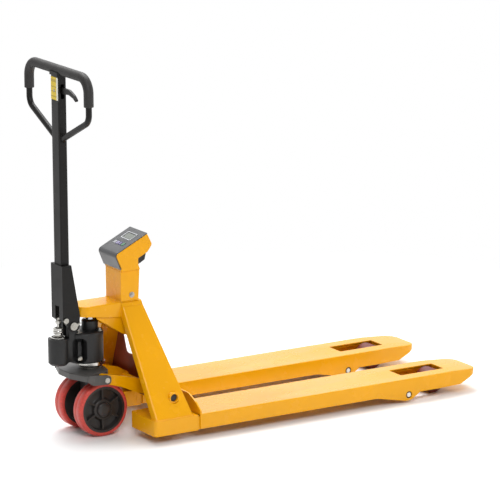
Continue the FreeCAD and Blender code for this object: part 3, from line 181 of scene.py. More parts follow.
def spread(tree, source, low, high, start=0.3, end=0.7):
    """Map a pattern's middle range to a range of values."""
    return add_node(tree, "ShaderNodeMapRange",
                    {"From Min": start, "From Max": end, "To Min": low, "To Max": high},
                    {"Value": source}).outputs["Result"]


def new_material(name):
    """Make a material with one shader, and give back its tree, its Object coordinates and the shader."""
    material = bpy.data.materials.new(name)
    material.use_nodes = True
    tree = material.node_tree
    tree.nodes.clear()
    place = add_node(tree, "ShaderNodeTexCoord").outputs["Object"]
    shader = add_node(tree, "ShaderNodeBsdfPrincipled")
    add_node(tree, "ShaderNodeOutputMaterial", links={"Surface": shader.outputs["BSDF"]})
    return material, tree, place, shader


def blend(tree, shader, factor, under, over):
    """Colour a shader with one colour over another by a factor."""
    mixed = add_node(tree, "ShaderNodeMix", {"data_type": "RGBA"})
    tree.links.new(factor, mixed.inputs[0])
    tree.links.new(under, mixed.inputs[6])
    mixed.inputs[7].default_value = rgba(over)
    tree.links.new(mixed.outputs[2], shader.inputs["Base Color"])


def bump(tree, shader, height, depth_mm, strength):
    """Raise a shader's surface by a pattern of a real depth in millimetres."""
    node = add_node(tree, "ShaderNodeBump", {"Strength": strength, "Distance": depth_mm * MM},
                    {"Height": height})
    tree.links.new(node.outputs["Normal"], shader.inputs["Normal"])


def powder_coat(colour):
    """Powder-coated steel: an even, glossy skin with a faint orange peel and a little dust low down."""
    material, tree, place, shader = new_material("powder_coated_steel")
    # The coat's thickness drifts over about 240 mm of plate.
    clouds = noise(tree, place, 240)
    # Dust lies on the lowest 350 mm, in specks up to 26 mm across.
    height = add_node(tree, "ShaderNodeSeparateXYZ", links={"Vector": place}).outputs["Z"]
    dust = spread(tree, height, 0.35, 0.0, 0.0, 0.06)
    speck = spread(tree, noise(tree, place, 26, 6), 0.0, 1.0, 0.50, 0.80)
    grime = add_node(tree, "ShaderNodeMath", {"operation": "MULTIPLY"}, {0: dust, 1: speck}).outputs[0]
    body = ramp(tree, clouds, [(0.3, shade(colour, 0.95)), (0.55, colour), (0.75, shade(colour, 1.04))])
    blend(tree, shader, grime, body, shade(colour, 0.5))
    # Handling dulls it in patches of about 60 mm.
    tree.links.new(spread(tree, noise(tree, place, 60, 4), 0.22, 0.30), shader.inputs["Roughness"])
    # Orange peel is about 1.5 mm across on a real coat; it is drawn at 3 mm so that it shows.
    bump(tree, shader, noise(tree, place, 3, 2), 0.05, 0.25)
    shader.inputs["Specular IOR Level"].default_value = 0.25
    shader.inputs["Coat Weight"].default_value = 0.12
    shader.inputs["Coat Roughness"].default_value = 0.15
    return material


def satin_paint(name, colour, grain_mm, depth_mm, low, high, shine=0.5):
    """Wet paint over steel or a casting: dark, with a grain from what lies under it and rubbed patches."""
    material, tree, place, shader = new_material(name)
    # Brushing leaves clouds of about 70 mm, and hands and boots rub patches of about 16 mm.
    clouds = noise(tree, place, 70, 5)
    rubbed = spread(tree, noise(tree, place, 16, 6, 0.65), 0.0, 1.0, 0.60, 0.72)
    body = ramp(tree, clouds, [(0.3, shade(colour, 0.75)), (0.7, shade(colour, 1.25))])
    blend(tree, shader, rubbed, body, shade(colour, 1.6))
    tree.links.new(spread(tree, clouds, low, high), shader.inputs["Roughness"])
    bump(tree, shader, noise(tree, place, grain_mm, 3, 0.6), depth_mm, 0.6)
    shader.inputs["Specular IOR Level"].default_value = shine
    return material


def bare_metal(name, colour, low, high, grain=(1.0, 1.0, 1.0), line_mm=1.2, depth_mm=0.02):
    """Uncoated metal: clear reflections broken up by turning or drawing lines."""
    material, tree, place, shader = new_material(name)
    drawn = add_node(tree, "ShaderNodeMapping", {"Scale": grain}, {"Vector": place}).outputs["Vector"]
    lines = noise(tree, drawn, line_mm, 4)
    # Oil and fingerprints stain it in spots of about 14 mm.
    stain = noise(tree, place, 14, 5)
    tone = ramp(tree, stain, [(0.35, shade(colour, 0.82)), (0.65, colour)])
    tree.links.new(tone, shader.inputs["Base Color"])
    tree.links.new(spread(tree, lines, low, high), shader.inputs["Roughness"])
    bump(tree, shader, lines, depth_mm, 0.5)
    shader.inputs["Metallic"].default_value = 1.0
    return material


def polyurethane(name, colour, low, high):
    """Cast polyurethane: a soft satin rubber that lets a little light in, with rolling scuffs."""
    material, tree, place, shader = new_material(name)
    # Grit leaves scuffs of about 7 mm and dents of about 1.6 mm, 0.05 mm deep.
    scuff = noise(tree, place, 7, 6, 0.7)
    body = ramp(tree, scuff, [(0.3, shade(colour, 0.80)), (0.5, colour), (0.72, shade(colour, 1.25))])
    tree.links.new(body, shader.inputs["Base Color"])
    tree.links.new(spread(tree, scuff, low, high), shader.inputs["Roughness"])
    bump(tree, shader, noise(tree, place, 1.6, 3), 0.05, 0.4)
    shader.inputs["Subsurface Weight"].default_value = 0.15
    shader.inputs["Subsurface Scale"].default_value = 0.004
    shader.inputs["IOR"].default_value = 1.5
    return material


def moulded(name, colour, grain_mm, depth_mm, low, high, coat=0.0):
    """Moulded rubber or plastic: an even colour with the mould's fine texture."""
    material, tree, place, shader = new_material(name)
    grain = noise(tree, place, grain_mm, 2)
    # The moulding's tone drifts over about 45 mm.
    clouds = noise(tree, place, 45, 4)
    tone = ramp(tree, clouds, [(0.35, shade(colour, 0.88)), (0.65, shade(colour, 1.1))])
    tree.links.new(tone, shader.inputs["Base Color"])
    tree.links.new(spread(tree, clouds, low, high), shader.inputs["Roughness"])
    bump(tree, shader, grain, depth_mm, 0.5)
    shader.inputs["Coat Weight"].default_value = coat
    return material


def display_glass():
    """Clear acrylic over a grey-green liquid crystal cell, whose segments show as faint bars."""
    material, tree, place, shader = new_material("acrylic_over_display")
    split = add_node(tree, "ShaderNodeSeparateXYZ", links={"Vector": place})
    # 560 radians to the metre gives one bar every 11 mm across the window.
    across = add_node(tree, "ShaderNodeMath", {"operation": "MULTIPLY", 1: 560.0},
                      {0: split.outputs["Y"]}).outputs[0]
    wave = add_node(tree, "ShaderNodeMath", {"operation": "SINE"}, {0: across}).outputs[0]
    tone = ramp(tree, spread(tree, wave, 0.0, 1.0, -1.0, 1.0),
                [(0.0, hex_colour("3E443C")), (0.2, hex_colour("5A6157")), (1.0, hex_colour("62695E"))])
    tree.links.new(tone, shader.inputs["Base Color"])
    tree.links.new(spread(tree, noise(tree, place, 12), 0.08, 0.16), shader.inputs["Roughness"])
    shader.inputs["Coat Weight"].default_value = 1.0
    shader.inputs["Coat Roughness"].default_value = 0.03
    return material


def printed_label(colour):
    """Printed vinyl: a yellow ground with a white stripe on one side and plain bars for its words."""
    material, tree, place, shader = new_material("printed_vinyl_label")
    split = add_node(tree, "ShaderNodeSeparateXYZ", links={"Vector": place})
    white = hex_colour("E4E2D6")
    bar = shade(colour, 0.62)
    stops = [(0.0, colour)]
    for low, high in ((0.15, 0.19), (0.35, 0.39), (0.55, 0.59), (0.77, 0.88)):
        stops += [(low - 0.01, colour), (low, bar), (high, bar), (high + 0.01, colour)]
    stops.append((1.0, colour))
    bars = ramp(tree, spread(tree, split.outputs["Z"], 0.0, 1.0, LABEL_LOW, LABEL_HIGH), stops)
    # The white stripe fills the label beyond 13 mm to one side.
    stripe = ramp(tree, spread(tree, split.outputs["Y"], 0.0, 1.0, -0.0132, -0.0128),
                  [(0.0, (1.0, 1.0, 1.0)), (1.0, (0.0, 0.0, 0.0))])
    blend(tree, shader, stripe, bars, white)
    tree.links.new(spread(tree, noise(tree, place, 9), 0.28, 0.45), shader.inputs["Roughness"])
    return material


MATERIALS = {}


def make_materials(colours):
    """Make every finish once, in the colours that the settings give."""
    steel = hex_colour("B4B1A9")
    MATERIALS.update({
        "frame": powder_coat(colours.frame_paint),
        "handle": satin_paint("satin_painted_steel", colours.handle_paint, 1.6, 0.04, 0.34, 0.48, 0.28),
        "pump": satin_paint("painted_pump_casting", colours.pump_paint, 2.6, 0.35, 0.36, 0.55),
        "yoke": satin_paint("painted_cast_steel", colours.yoke_paint, 3.0, 0.30, 0.38, 0.55),
        # Painted shade: a red-brown paint darkens the front panel's inside, which is orange paint in shadow.
        "inner_panel_shade": satin_paint("painted_shade_red_brown", colours.inner_panel_shade, 2.0, 0.05, 0.40, 0.55),
        "rim": satin_paint("painted_wheel_casting", hex_colour("2B2725"), 2.4, 0.22, 0.30, 0.48),
        "zinc": bare_metal("zinc_plated_steel", steel, 0.22, 0.38),
        "turned": bare_metal("turned_steel", hex_colour("CFCDC7"), 0.14, 0.26, (0.15, 0.15, 3.0)),
        "chrome": bare_metal("hard_chromed_steel", hex_colour("C4C4C4"), 0.10, 0.18, (0.2, 0.2, 2.0),
                             1.0, 0.004),
        "cell": bare_metal("machined_aluminium", hex_colour("C8C9CC"), 0.26, 0.38, (0.2, 2.0, 2.0)),
        "tread": polyurethane("polyurethane_tread", colours.tread, 0.34, 0.55),
        # The rollers' colour carries painted shade from inside the forks as well as their own dark red.
        "roller": polyurethane("polyurethane_roller", colours.roller, 0.32, 0.5),
        "grip": moulded("moulded_grip_rubber", hex_colour("242221"), 1.8, 0.12, 0.52, 0.68),
        "panel": moulded("textured_polyester_film", colours.panel, 1.2, 0.02, 0.32, 0.44, 0.2),
        "case": moulded("moulded_abs", hex_colour("1D1C1C"), 1.4, 0.06, 0.42, 0.55),
        "bezel": moulded("silver_printed_film", hex_colour("C6C9CC"), 1.5, 0.02, 0.30, 0.40),
        "lens": display_glass(),
        "label": printed_label(colours.label),
        "seal": moulded("nitrile_seal", hex_colour("161616"), 1.5, 0.05, 0.35, 0.5),
        "key_tare": moulded("green_silicone_key", hex_colour("4A7A5C"), 1.0, 0.03, 0.40, 0.55),
        "key_zero": moulded("violet_silicone_key", hex_colour("635C84"), 1.0, 0.03, 0.40, 0.55),
        "key_print": moulded("lilac_silicone_key", hex_colour("8C86A6"), 1.0, 0.03, 0.40, 0.55),
        "key_power": moulded("grey_silicone_key", hex_colour("9A9BA0"), 1.0, 0.03, 0.40, 0.55),
    })


# ---- shaping ---------------------------------------------------------------------------------------

def body_of(node):
    """Body that a CAD node rides on."""
    return frame["nodes"][node]["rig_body"]


def add_piece(name, bm, finish, body, sharp=35.0):
    """Turn a bmesh into a smooth-shaded piece in its place, riding on a body."""
    mesh = bpy.data.meshes.new(name)
    bm.to_mesh(mesh)
    bm.free()
    mesh.shade_smooth()
    mesh.set_sharp_from_angle(angle=math.radians(sharp))
    mesh.materials.append(MATERIALS[finish])
    piece = bpy.data.objects.new(name, mesh)
    bpy.context.scene.collection.objects.link(piece)
    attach(piece, body)
    return piece


def soften(piece, width, segments):
    """Round a piece's sharp edges and keep its flats flat."""
    rounding = piece.modifiers.new("Rounded edges", "BEVEL")
    rounding.width = width
    rounding.segments = segments
    rounding.limit_method = "ANGLE"
    rounding.angle_limit = math.radians(ROUNDED_ABOVE)
    rounding.harden_normals = True
    rounding.use_clamp_overlap = True
    rounding.miter_outer = "MITER_ARC"


def finish_node(node, finish, width=0.0, segments=2):
    """Stand a merged copy with rounded edges in place of a CAD node."""
    bm = bmesh.new()
    bm.from_mesh(frame["nodes"][node].data)
    bmesh.ops.remove_doubles(bm, verts=bm.verts, dist=0.00002)
    bmesh.ops.dissolve_limit(bm, angle_limit=math.radians(0.4), verts=bm.verts, edges=bm.edges)
    piece = add_piece(f"{node}_finished", bm, finish, body_of(node))
    if width:
        soften(piece, width, segments)
    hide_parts(node)


def facing(axis):
    """Turn that takes +Z to an axis."""
    return Vector((0, 0, 1)).rotation_difference(Vector(axis).normalized()).to_matrix().to_4x4()


def lathe(bm, profile, place, axis, steps):
    """Spin a profile of (radius, distance along the axis) round an axis through a place."""
    start = [bm.verts.new((radius, 0, along)) for radius, along in profile]
    edges = [bm.edges.new(pair) for pair in zip(start, start[1:])]
    ring = bmesh.ops.spin(bm, geom=start + edges, cent=(0, 0, 0), axis=(0, 0, 1), dvec=(0, 0, 0),
                          angle=math.tau, steps=steps, use_merge=True, use_duplicate=False)
    last = [item for item in ring["geom_last"] if isinstance(item, bmesh.types.BMVert)]
    found = last or start
    reached = set(found)
    while found:
        vert = found.pop()
        for edge in vert.link_edges:
            other = edge.other_vert(vert)
            if other not in reached:
                reached.add(other)
                found.append(other)
    bmesh.ops.remove_doubles(bm, verts=list(reached), dist=0.000005)
    alive = [v for v in reached if v.is_valid]
    faces = list({f for v in alive for f in v.link_faces})
    bmesh.ops.recalc_face_normals(bm, faces=faces)
    bmesh.ops.transform(bm, matrix=Matrix.Translation(place) @ facing(axis), verts=alive)


def prism(bm, sides, radius, height, place, axis, edge, turn=0.0):
    """Add a prism that stands on a place, with its top rim bevelled."""
    made = bmesh.ops.create_cone(bm, cap_ends=True, segments=sides, radius1=radius, radius2=radius,
                                 depth=height)["verts"]
    bmesh.ops.rotate(bm, verts=made, cent=(0, 0, 0), matrix=Matrix.Rotation(turn, 3, "Z"))
    bmesh.ops.translate(bm, verts=made, vec=(0, 0, height / 2))
    top = [e for v in made for e in v.link_edges if all(w.co.z > height * 0.9 for w in e.verts)]
    cut = bmesh.ops.bevel(bm, geom=list(set(top)), offset=edge, segments=2, profile=0.5,
                          affect="EDGES", material=-1)
    made = list({v for v in made if v.is_valid} | set(cut["verts"]))
    bmesh.ops.transform(bm, matrix=Matrix.Translation(place) @ facing(axis), verts=made)


def bolt(bm, place, axis, across, turn):
    """Add a hexagonal bolt head on its washer, both in proportion to the head's width."""
    seat = Vector(place) + Vector(axis).normalized() * across * 0.13
    prism(bm, 32, across * 0.72, across * 0.14, place, axis, across * 0.04)
    prism(bm, 6, across * 0.5, across * 0.42, seat, axis, across * 0.06, turn)


def weld(bm, start, end, width):
    """Lay overlapping weld ripples along a straight seam."""
    start, end = Vector(start), Vector(end)
    run = end - start
    count = max(2, int(run.length / (width * RIPPLE_SPACING)))
    for index in range(count + 1):
        place = Matrix.Translation(start + run * index / count)
        bmesh.ops.create_icosphere(bm, subdivisions=1, radius=width / 2, matrix=place)


def rounded_plate(bm, half_x, half_y, height, corner, matrix):
    """Add a flat plate with rounded upright corners."""
    made = bmesh.ops.create_cube(bm, size=1.0)["verts"]
    bmesh.ops.scale(bm, verts=made, vec=(half_x * 2, half_y * 2, height))
    upright = [e for v in made for e in v.link_edges
               if abs(e.verts[0].co.z - e.verts[1].co.z) > height * 0.5]
    cut = bmesh.ops.bevel(bm, geom=list(set(upright)), offset=corner, segments=5, profile=0.5,
                          affect="EDGES", material=-1)
    made = list({v for v in made if v.is_valid} | set(cut["verts"]))
    bmesh.ops.transform(bm, matrix=matrix, verts=made)


def on_slope(along, across, rise):
    """Matrix of a place on the indicator's sloping face: X runs up the slope and Z stands off it."""
    slope = Vector((math.cos(PANEL_TILT), 0, math.sin(PANEL_TILT)))
    normal = Vector((-math.sin(PANEL_TILT), 0, math.cos(PANEL_TILT)))
    turn = Matrix((slope, Vector((0, 1, 0)), normal)).transposed().to_4x4()
    return Matrix.Translation(PANEL_FOOT + slope * along + Vector((0, across, 0)) + normal * rise) @ turn


# ---- operators -------------------------------------------------------------------------------------

class PALLETSCALE_OT_stage(bpy.types.Operator):
    """Set the camera, the pale floor and the soft studio lights"""
    bl_idname = "palletscale.stage"
    bl_label = "Stage and camera"

    def execute(self, context):
        scene = context.scene
        scene.view_settings.view_transform = "Standard"
        self.camera(scene)
        self.floor(scene)
        self.lights(scene)
        return {"FINISHED"}

    def camera(self, scene):
        """Look at the near fork from a little above, through a long lens."""
        turn, height, roll = (math.radians(degrees) for degrees in CAMERA_TURNS)
        back = Vector((math.sin(turn) * math.cos(height), -math.cos(turn) * math.cos(height),
                       math.sin(height)))
        level = Vector((math.cos(turn), math.sin(turn), 0))
        above = back.cross(level)
        right = level * math.cos(roll) - above * math.sin(roll)
        up = level * math.sin(roll) + above * math.cos(roll)
        data = bpy.data.cameras.new("camera")
        data.lens = CAMERA_LENS
        data.sensor_width = 36.0
        data.clip_start, data.clip_end = 1.0, 200.0
        camera = bpy.data.objects.new("camera", data)
        scene.collection.objects.link(camera)
        camera.matrix_world = (Matrix.Translation(CAMERA_PLACE)
                               @ Matrix((right, up, back)).transposed().to_4x4())
        scene.camera = camera

    def floor(self, scene):
        """Lay a pale floor that fades to plain white 1 to 2.2 m away from the truck's middle."""
        bm = bmesh.new()
        bmesh.ops.create_grid(bm, x_segments=1, y_segments=1, size=scene.truck_sizes.floor / 2)
        mesh = bpy.data.meshes.new("floor")
        bm.to_mesh(mesh)
        bm.free()
        material, tree, place, shader = new_material("pale_studio_floor")
        # The floor's paint drifts over about 900 mm.
        tone = ramp(tree, noise(tree, place, 900),
                    [(0.3, hex_colour("F6F6F6")), (0.7, hex_colour("F9F9F9"))])
        tree.links.new(tone, shader.inputs["Base Color"])
        shader.inputs["Roughness"].default_value = 0.75
        away = add_node(tree, "ShaderNodeVectorMath", {"operation": "LENGTH"}, {0: place}).outputs["Value"]
        fade = spread(tree, away, 0.0, 1.0, 1.0, 2.2)
        white = add_node(tree, "ShaderNodeEmission", {"Strength": 1.0})
        both = add_node(tree, "ShaderNodeMixShader",
                        links={0: fade, 1: shader.outputs[0], 2: white.outputs[0]})
        sink = next(node for node in tree.nodes if node.bl_idname == "ShaderNodeOutputMaterial")
        tree.links.new(both.outputs[0], sink.inputs["Surface"])
        mesh.materials.append(material)
        floor = bpy.data.objects.new("floor", mesh)
        scene.collection.objects.link(floor)

    def lights(self, scene):
        """Light the room from the camera's side and above, and keep its background white."""
        self.room(scene)
        for name, place, size, power in (("key", (-2.2, -3.6, 3.6), 2.0, 110),
                                         ("top", (0.4, 1.6, 4.2), 3.4, 175),
                                         ("fill", (3.6, -3.2, 1.6), 2.2, 35)):
            data = bpy.data.lights.new(name, "AREA")
            data.shape = "DISK"
            data.size = size
            data.energy = power
            light = bpy.data.objects.new(name, data)
            scene.collection.objects.link(light)
            aim = Vector((0, 0, 0.35)) - Vector(place)
            turned = aim.to_track_quat("-Z", "Y").to_matrix().to_4x4()
            light.matrix_world = Matrix.Translation(place) @ turned

    def room(self, scene):
        """Surround the truck with a grey that brightens towards its far side, white to the camera."""
        world = bpy.data.worlds.new("studio")
        world.use_nodes = True
        tree = world.node_tree
        tree.nodes.clear()
        seen = add_node(tree, "ShaderNodeLightPath").outputs["Is Camera Ray"]
        way = add_node(tree, "ShaderNodeTexCoord").outputs["Generated"]
        ahead = add_node(tree, "ShaderNodeVectorMath", {"operation": "DOT_PRODUCT", 1: (0.50, 0.80, 0.33)},
                         {0: way}).outputs["Value"]
        grey = ramp(tree, spread(tree, ahead, 0.0, 1.0, -1.0, 1.0),
                    [(0.0, (0.08, 0.08, 0.08)), (0.35, (0.20, 0.20, 0.205)), (0.55, (0.70, 0.70, 0.70)),
                     (0.75, (1.25, 1.25, 1.25)), (1.0, (1.35, 1.35, 1.35))])
        soft = add_node(tree, "ShaderNodeBackground", {"Strength": 0.8}, {"Color": grey})
        plain = add_node(tree, "ShaderNodeBackground", {"Color": (1.0, 1.0, 1.0, 1.0), "Strength": 1.0})
        both = add_node(tree, "ShaderNodeMixShader",
                        links={0: seen, 1: soft.outputs[0], 2: plain.outputs[0]})
        add_node(tree, "ShaderNodeOutputWorld", links={"Surface": both.outputs[0]})
        scene.world = world


class PALLETSCALE_OT_frame(bpy.types.Operator):
    """Finish the forks, legs, bridge, beam and column in powder coat, and the panel in red-brown painted
    shade, with their welds
    """
    bl_idname = "palletscale.frame"
    bl_label = "Fork frame"

    def execute(self, context):
        edge = context.scene.truck_sizes.plate_edge
        for name, _side in SIDES:
            for node in ("fork_shell", "inner_fork", "side_leg"):
                finish_node(f"{node}_{name}", "frame", edge)
        for node in ("frame_bridge", "head_beam", "beam_gussets", "column"):
            finish_node(node, "frame", edge)
        # The front panel's inside gets red-brown painted shade in place of the frame's orange paint.
        finish_node("front_panel", "inner_panel_shade", edge)
        finish_node("rocker_bushes", "frame", edge / 2)
        for node, finish in (("fork_pins", "turned"), ("ram_seat", "zinc"), ("load_cell_feet", "zinc")):
            finish_node(node, finish, 0.0008)
        finish_node("load_cells", "cell", 0.0008)
        self.welds(context.scene.truck_sizes.weld_bead)
        self.screws()
        self.pin_gap_shade()
        return {"FINISHED"}

    def welds(self, width):
        """Run beads round the legs' feet, the beam's root and the column's foot."""
        bm = bmesh.new()
        fine = width * 0.7
        rear = AXLE_X + 0.0895
        for _name, side in SIDES:
            seams = (((0.092, 0.2712, FOOT_TOP), (0.226, 0.2712, FOOT_TOP), width),
                     ((0.0895, 0.266, FOOT_TOP), (0.0895, 0.241, FOOT_TOP), width),
                     ((0.0900, 0.0495, 0.426), (0.0900, 0.0495, 0.383), width),
                     ((0.091, 0.0505, 0.4305), (0.155, 0.0505, 0.4305), fine))
            for start, end, bead in seams:
                weld(bm, *((AXLE_X + x, side * y, z) for x, y, z in (start, end)), bead)
        weld(bm, (rear, -0.046, BRIDGE_TOP), (rear, 0.046, BRIDGE_TOP), fine)
        add_piece("frame_welds", bm, "frame", "fork_frame", 60)

    def pin_gap_shade(self):
        """Put a dark ring round each end of the two fork pins: painted shade for the clearance gap round each
        pin.
        """
        bm = bmesh.new()
        profile = [(0.0084, 0.0), (0.0118, 0.0), (0.0118, 0.0007), (0.0112, 0.0012), (0.0084, 0.0012),
                   (0.0084, 0.0)]
        for _name, side in SIDES:
            for edge in (1, -1):
                place = (AXLE_X + 1.060, side * FORK_Y + edge * 0.0852, 0.027)
                lathe(bm, profile, place, (0, edge, 0), 48)
        # The dark ABS finish draws the shade in the pins' clearance gaps.
        add_piece("fork_pin_gap_shade", bm, "case", "fork_frame")

    def screws(self):
        """Put a domed screw head on each side of the column."""
        bm = bmesh.new()
        for _name, side in SIDES:
            place = Vector((AXLE_X + 0.130, side * 0.050, 0.450))
            lathe(bm, [(0, 0.0058), (0.0035, 0.0056), (0.0062, 0.0040), (0.0068, 0.0018), (0.0094, 0.0017),
                       (0.0096, 0.0004), (0.0094, 0.0), (0, 0)], place, (0, side, 0), 40)
        piece = add_piece("column_screw_heads", bm, "zinc", "fork_frame")
        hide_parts("column_screws")


class PALLETSCALE_OT_gear(bpy.types.Operator):
    """Finish the rocker, push rods, roller levers and load rollers under the forks"""
    bl_idname = "palletscale.gear"
    bl_label = "Lifting gear"

    def execute(self, context):
        edge = context.scene.truck_sizes.plate_edge
        finish_node("rocker", "frame", edge)
        for name, side in SIDES:
            finish_node(f"push_rod_{name}", "frame", edge / 2)
            finish_node(f"roller_lever_{name}", "frame", edge / 2)
            self.roller(name, side)
        self.shaft_caps()
        return {"FINISHED"}

    def roller(self, name, side):
        """Turn a load roller with rounded shoulders and sunk faces."""
        half, radius, bore = 0.031, 0.040, 0.00805
        bm = bmesh.new()
        lathe(bm, [(bore, -half), (0.0185, -half), (0.0195, -half + 0.0025), (0.0285, -half + 0.0028),
                   (0.0300, -half + 0.0004), (radius - 0.0045, -half), (radius - 0.0016, -half + 0.0013),
                   (radius, -half + 0.0045), (radius, half - 0.0045), (radius - 0.0016, half - 0.0013),
                   (radius - 0.0045, half), (0.0300, half - 0.0004), (0.0285, half - 0.0028),
                   (0.0195, half - 0.0025), (0.0185, half), (bore, half), (bore, -half)],
              (AXLE_X + 1.2, side * FORK_Y, radius), (0, 1, 0), 72)
        piece = add_piece(f"roller_{name}", bm, "roller", f"load_roller_{name}")
        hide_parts(f"load_roller_{name}")

    def shaft_caps(self):
        """Plug each end of the rocker's shaft."""
        bm = bmesh.new()
        for _name, side in SIDES:
            lathe(bm, [(0, 0.0022), (0.008, 0.0020), (0.0112, 0.0010), (0.0122, 0.0)],
                  (AXLE_X + 0.176, side * 0.2326, 0.138), (0, side, 0), 40)
        add_piece("shaft_end_plugs", bm, "case", "rocker")


class PALLETSCALE_OT_pump(bpy.types.Operator):
    """Finish the pump, yoke and wheel carrier, with their bolts and seals"""
    bl_idname = "palletscale.pump"
    bl_label = "Pump and yoke"

    def execute(self, context):
        edge = context.scene.truck_sizes.casting_edge
        finish_node("pump_body", "pump", edge, 3)
        finish_node("wheel_carrier", "pump", edge)
        finish_node("yoke", "yoke", edge, 3)
        finish_node("pump_cylinder", "pump", 0.0010)
        for node in ("yoke_pins", "thrust_ring", "tilt_pin", "tilt_clip"):
            finish_node(node, "zinc", 0.0006)
        finish_node("valve_lever", "pump", 0.0006)
        finish_node("steering_axle", "turned", 0.0)
        finish_node("wheel_clips", "zinc", 0.0004)
        finish_node("pump_plunger", "turned", 0.0006)
        finish_node("ram", "chrome", 0.001)
        finish_node("plunger_spring", "zinc", 0.0)
        self.bolts(context.scene.truck_sizes.bolt_head)
        self.seals()
        return {"FINISHED"}

    def bolts(self, across):
        """Bolt the casting's top and hold the valve lever with its nut."""
        bm = bmesh.new()
        for along, aside, turn in ((-0.056, -0.026, 0.3), (0.018, -0.034, 0.1), (0.018, 0.034, 0.6)):
            bolt(bm, (AXLE_X + along, aside, PUMP_TOP), (0, 0, 1), across, turn)
        add_piece("pump_bolts", bm, "zinc", "steering_head", 28)
        nut = bmesh.new()
        prism(nut, 6, 0.0085, 0.006, (AXLE_X - 0.0615, -0.041, 0.261), (0, -1, 0), 0.0008, 0.2)
        add_piece("valve_lever_nut", nut, "zinc", "valve_lever", 28)

    def seals(self):
        """Turn the ram's wiper, the plunger's collar, the spring's seat and the ring the head turns on."""
        wiper = [(0.0172, 0.0), (0.0255, 0.0), (0.0262, 0.0012), (0.0240, 0.0034), (0.0205, 0.0042),
                 (0.0176, 0.0050), (0.0172, 0.0046), (0.0172, 0.0)]
        collar = [(0.0120, 0.0), (0.0166, 0.0), (0.0174, 0.0012), (0.0174, 0.0052), (0.0166, 0.0064),
                  (0.0150, 0.0066), (0.0150, 0.0105), (0.0165, 0.0112), (0.0165, 0.0145),
                  (0.0155, 0.0155), (0.0100, 0.0158)]
        seat = [(0.0204, 0.0), (0.0258, 0.0), (0.0265, 0.0010), (0.0265, 0.0042), (0.0255, 0.0052),
                (0.0212, 0.0052), (0.0204, 0.0042), (0.0204, 0.0)]
        ring = [(0.0384, 0.0), (0.0470, 0.0), (0.0478, 0.001), (0.0478, 0.0108), (0.0468, 0.0120),
                (0.0384, 0.0120), (0.0384, 0.0)]
        for name, profile, x, z, steps, finish, body, slot in (
                ("ram_wiper", wiper, AXLE_X, 0.373, 56, "seal", "steering_head", "pump_paint"),
                ("plunger_collar", collar, PLUNGER_X, 0.3475, 56, "turned", "plunger", "bright_steel"),
                ("spring_seat_ring", seat, PLUNGER_X, 0.3278, 56, "turned", "steering_head", "zinc_steel"),
                ("turning_ring", ring, AXLE_X, 0.2285, 72, "turned", "steering_head", "zinc_steel")):
            bm = bmesh.new()
            lathe(bm, profile, (x, 0, z), (0, 0, 1), steps)
            add_piece(name, bm, finish, body)


class PALLETSCALE_OT_wheels(bpy.types.Operator):
    """Finish the steering wheels: polyurethane treads, cast rims and bearings"""
    bl_idname = "palletscale.wheels"
    bl_label = "Steering wheels"

    def execute(self, context):
        for name, side in SIDES:
            self.tyre(name, side)
            finish_node(f"wheel_rim_{name}", "rim", 0.0012)
            finish_node(f"wheel_bearings_{name}", "zinc", 0.0005)
            self.hub_ring(name, side)
        return {"FINISHED"}

    def tyre(self, name, side):
        """Turn a tread with rounded shoulders and the mould's faint seam round its middle."""
        half, radius, inner = 0.025, 0.090, 0.077
        rim = [(inner, -half + 0.0010), (radius - 0.0085, -half + 0.0002),
               (radius - 0.0060, -half + 0.0004), (radius - 0.0030, -half + 0.0020),
               (radius - 0.0010, -half + 0.0050), (radius, -half + 0.0095)]
        profile = rim + [(radius, -0.0004), (radius - 0.0003, 0.0), (radius, 0.0004)]
        profile += [(r, -along) for r, along in reversed(rim)] + [rim[0]]
        bm = bmesh.new()
        lathe(bm, profile, (AXLE_X, side * WHEEL_Y, radius), (0, 1, 0), 112)
        piece = add_piece(f"tread_{name}", bm, "tread", f"wheel_{name}", 50)
        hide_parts(f"tyre_{name}")

    def hub_ring(self, name, side):
        """Raise a ring round the outer bearing's seat."""
        bm = bmesh.new()
        lathe(bm, [(0.0290, 0.0), (0.0330, 0.0), (0.0335, 0.0012), (0.0320, 0.0026), (0.0296, 0.0026),
                   (0.0290, 0.0)], (AXLE_X, side * 0.0795, 0.090), (0, side, 0), 56)
        add_piece(f"hub_ring_{name}", bm, "rim", f"wheel_{name}")


class PALLETSCALE_OT_handle(bpy.types.Operator):
    """Finish the handle: bracket, mast, loop, rubber grip, control lever and label"""
    bl_idname = "palletscale.handle"
    bl_label = "Handle"

    def execute(self, context):
        edge = context.scene.truck_sizes.plate_edge
        for node in ("handle_bracket", "mast_tube", "control_lever"):
            finish_node(node, "handle", edge)
        finish_node("handle_loop", "handle")
        finish_node("handle_grip", "grip", 0.0012)
        for node in ("thumb_pin", "lever_pin", "release_rod"):
            finish_node(node, "zinc", 0.0006)
        self.label()
        self.loop_welds(context.scene.truck_sizes.weld_bead)
        return {"FINISHED"}

    def label(self):
        """Stick the label on the mast's rear face."""
        bm = bmesh.new()
        turn = Matrix.Rotation(math.radians(90), 4, "Y")
        place = Matrix.Translation((AXLE_X - 0.1147, 0.0, (LABEL_LOW + LABEL_HIGH) / 2)) @ turn
        rounded_plate(bm, 0.037, 0.0225, 0.0005, 0.002, place)
        add_piece("mast_label", bm, "label", "handle")

    def loop_welds(self, width):
        """Weld the loop's two feet to the mast's sides."""
        bm = bmesh.new()
        ripples = 20
        for _name, side in SIDES:
            for step in range(ripples):
                angle = math.tau * step / ripples
                place = Vector((AXLE_X - 0.0995 + 0.0108 * math.cos(angle), side * 0.0256,
                                0.9893 + 0.0122 * math.sin(angle)))
                bmesh.ops.create_icosphere(bm, subdivisions=1, radius=width * 0.45,
                                           matrix=Matrix.Translation(place))
        add_piece("loop_welds", bm, "handle", "handle", 60)


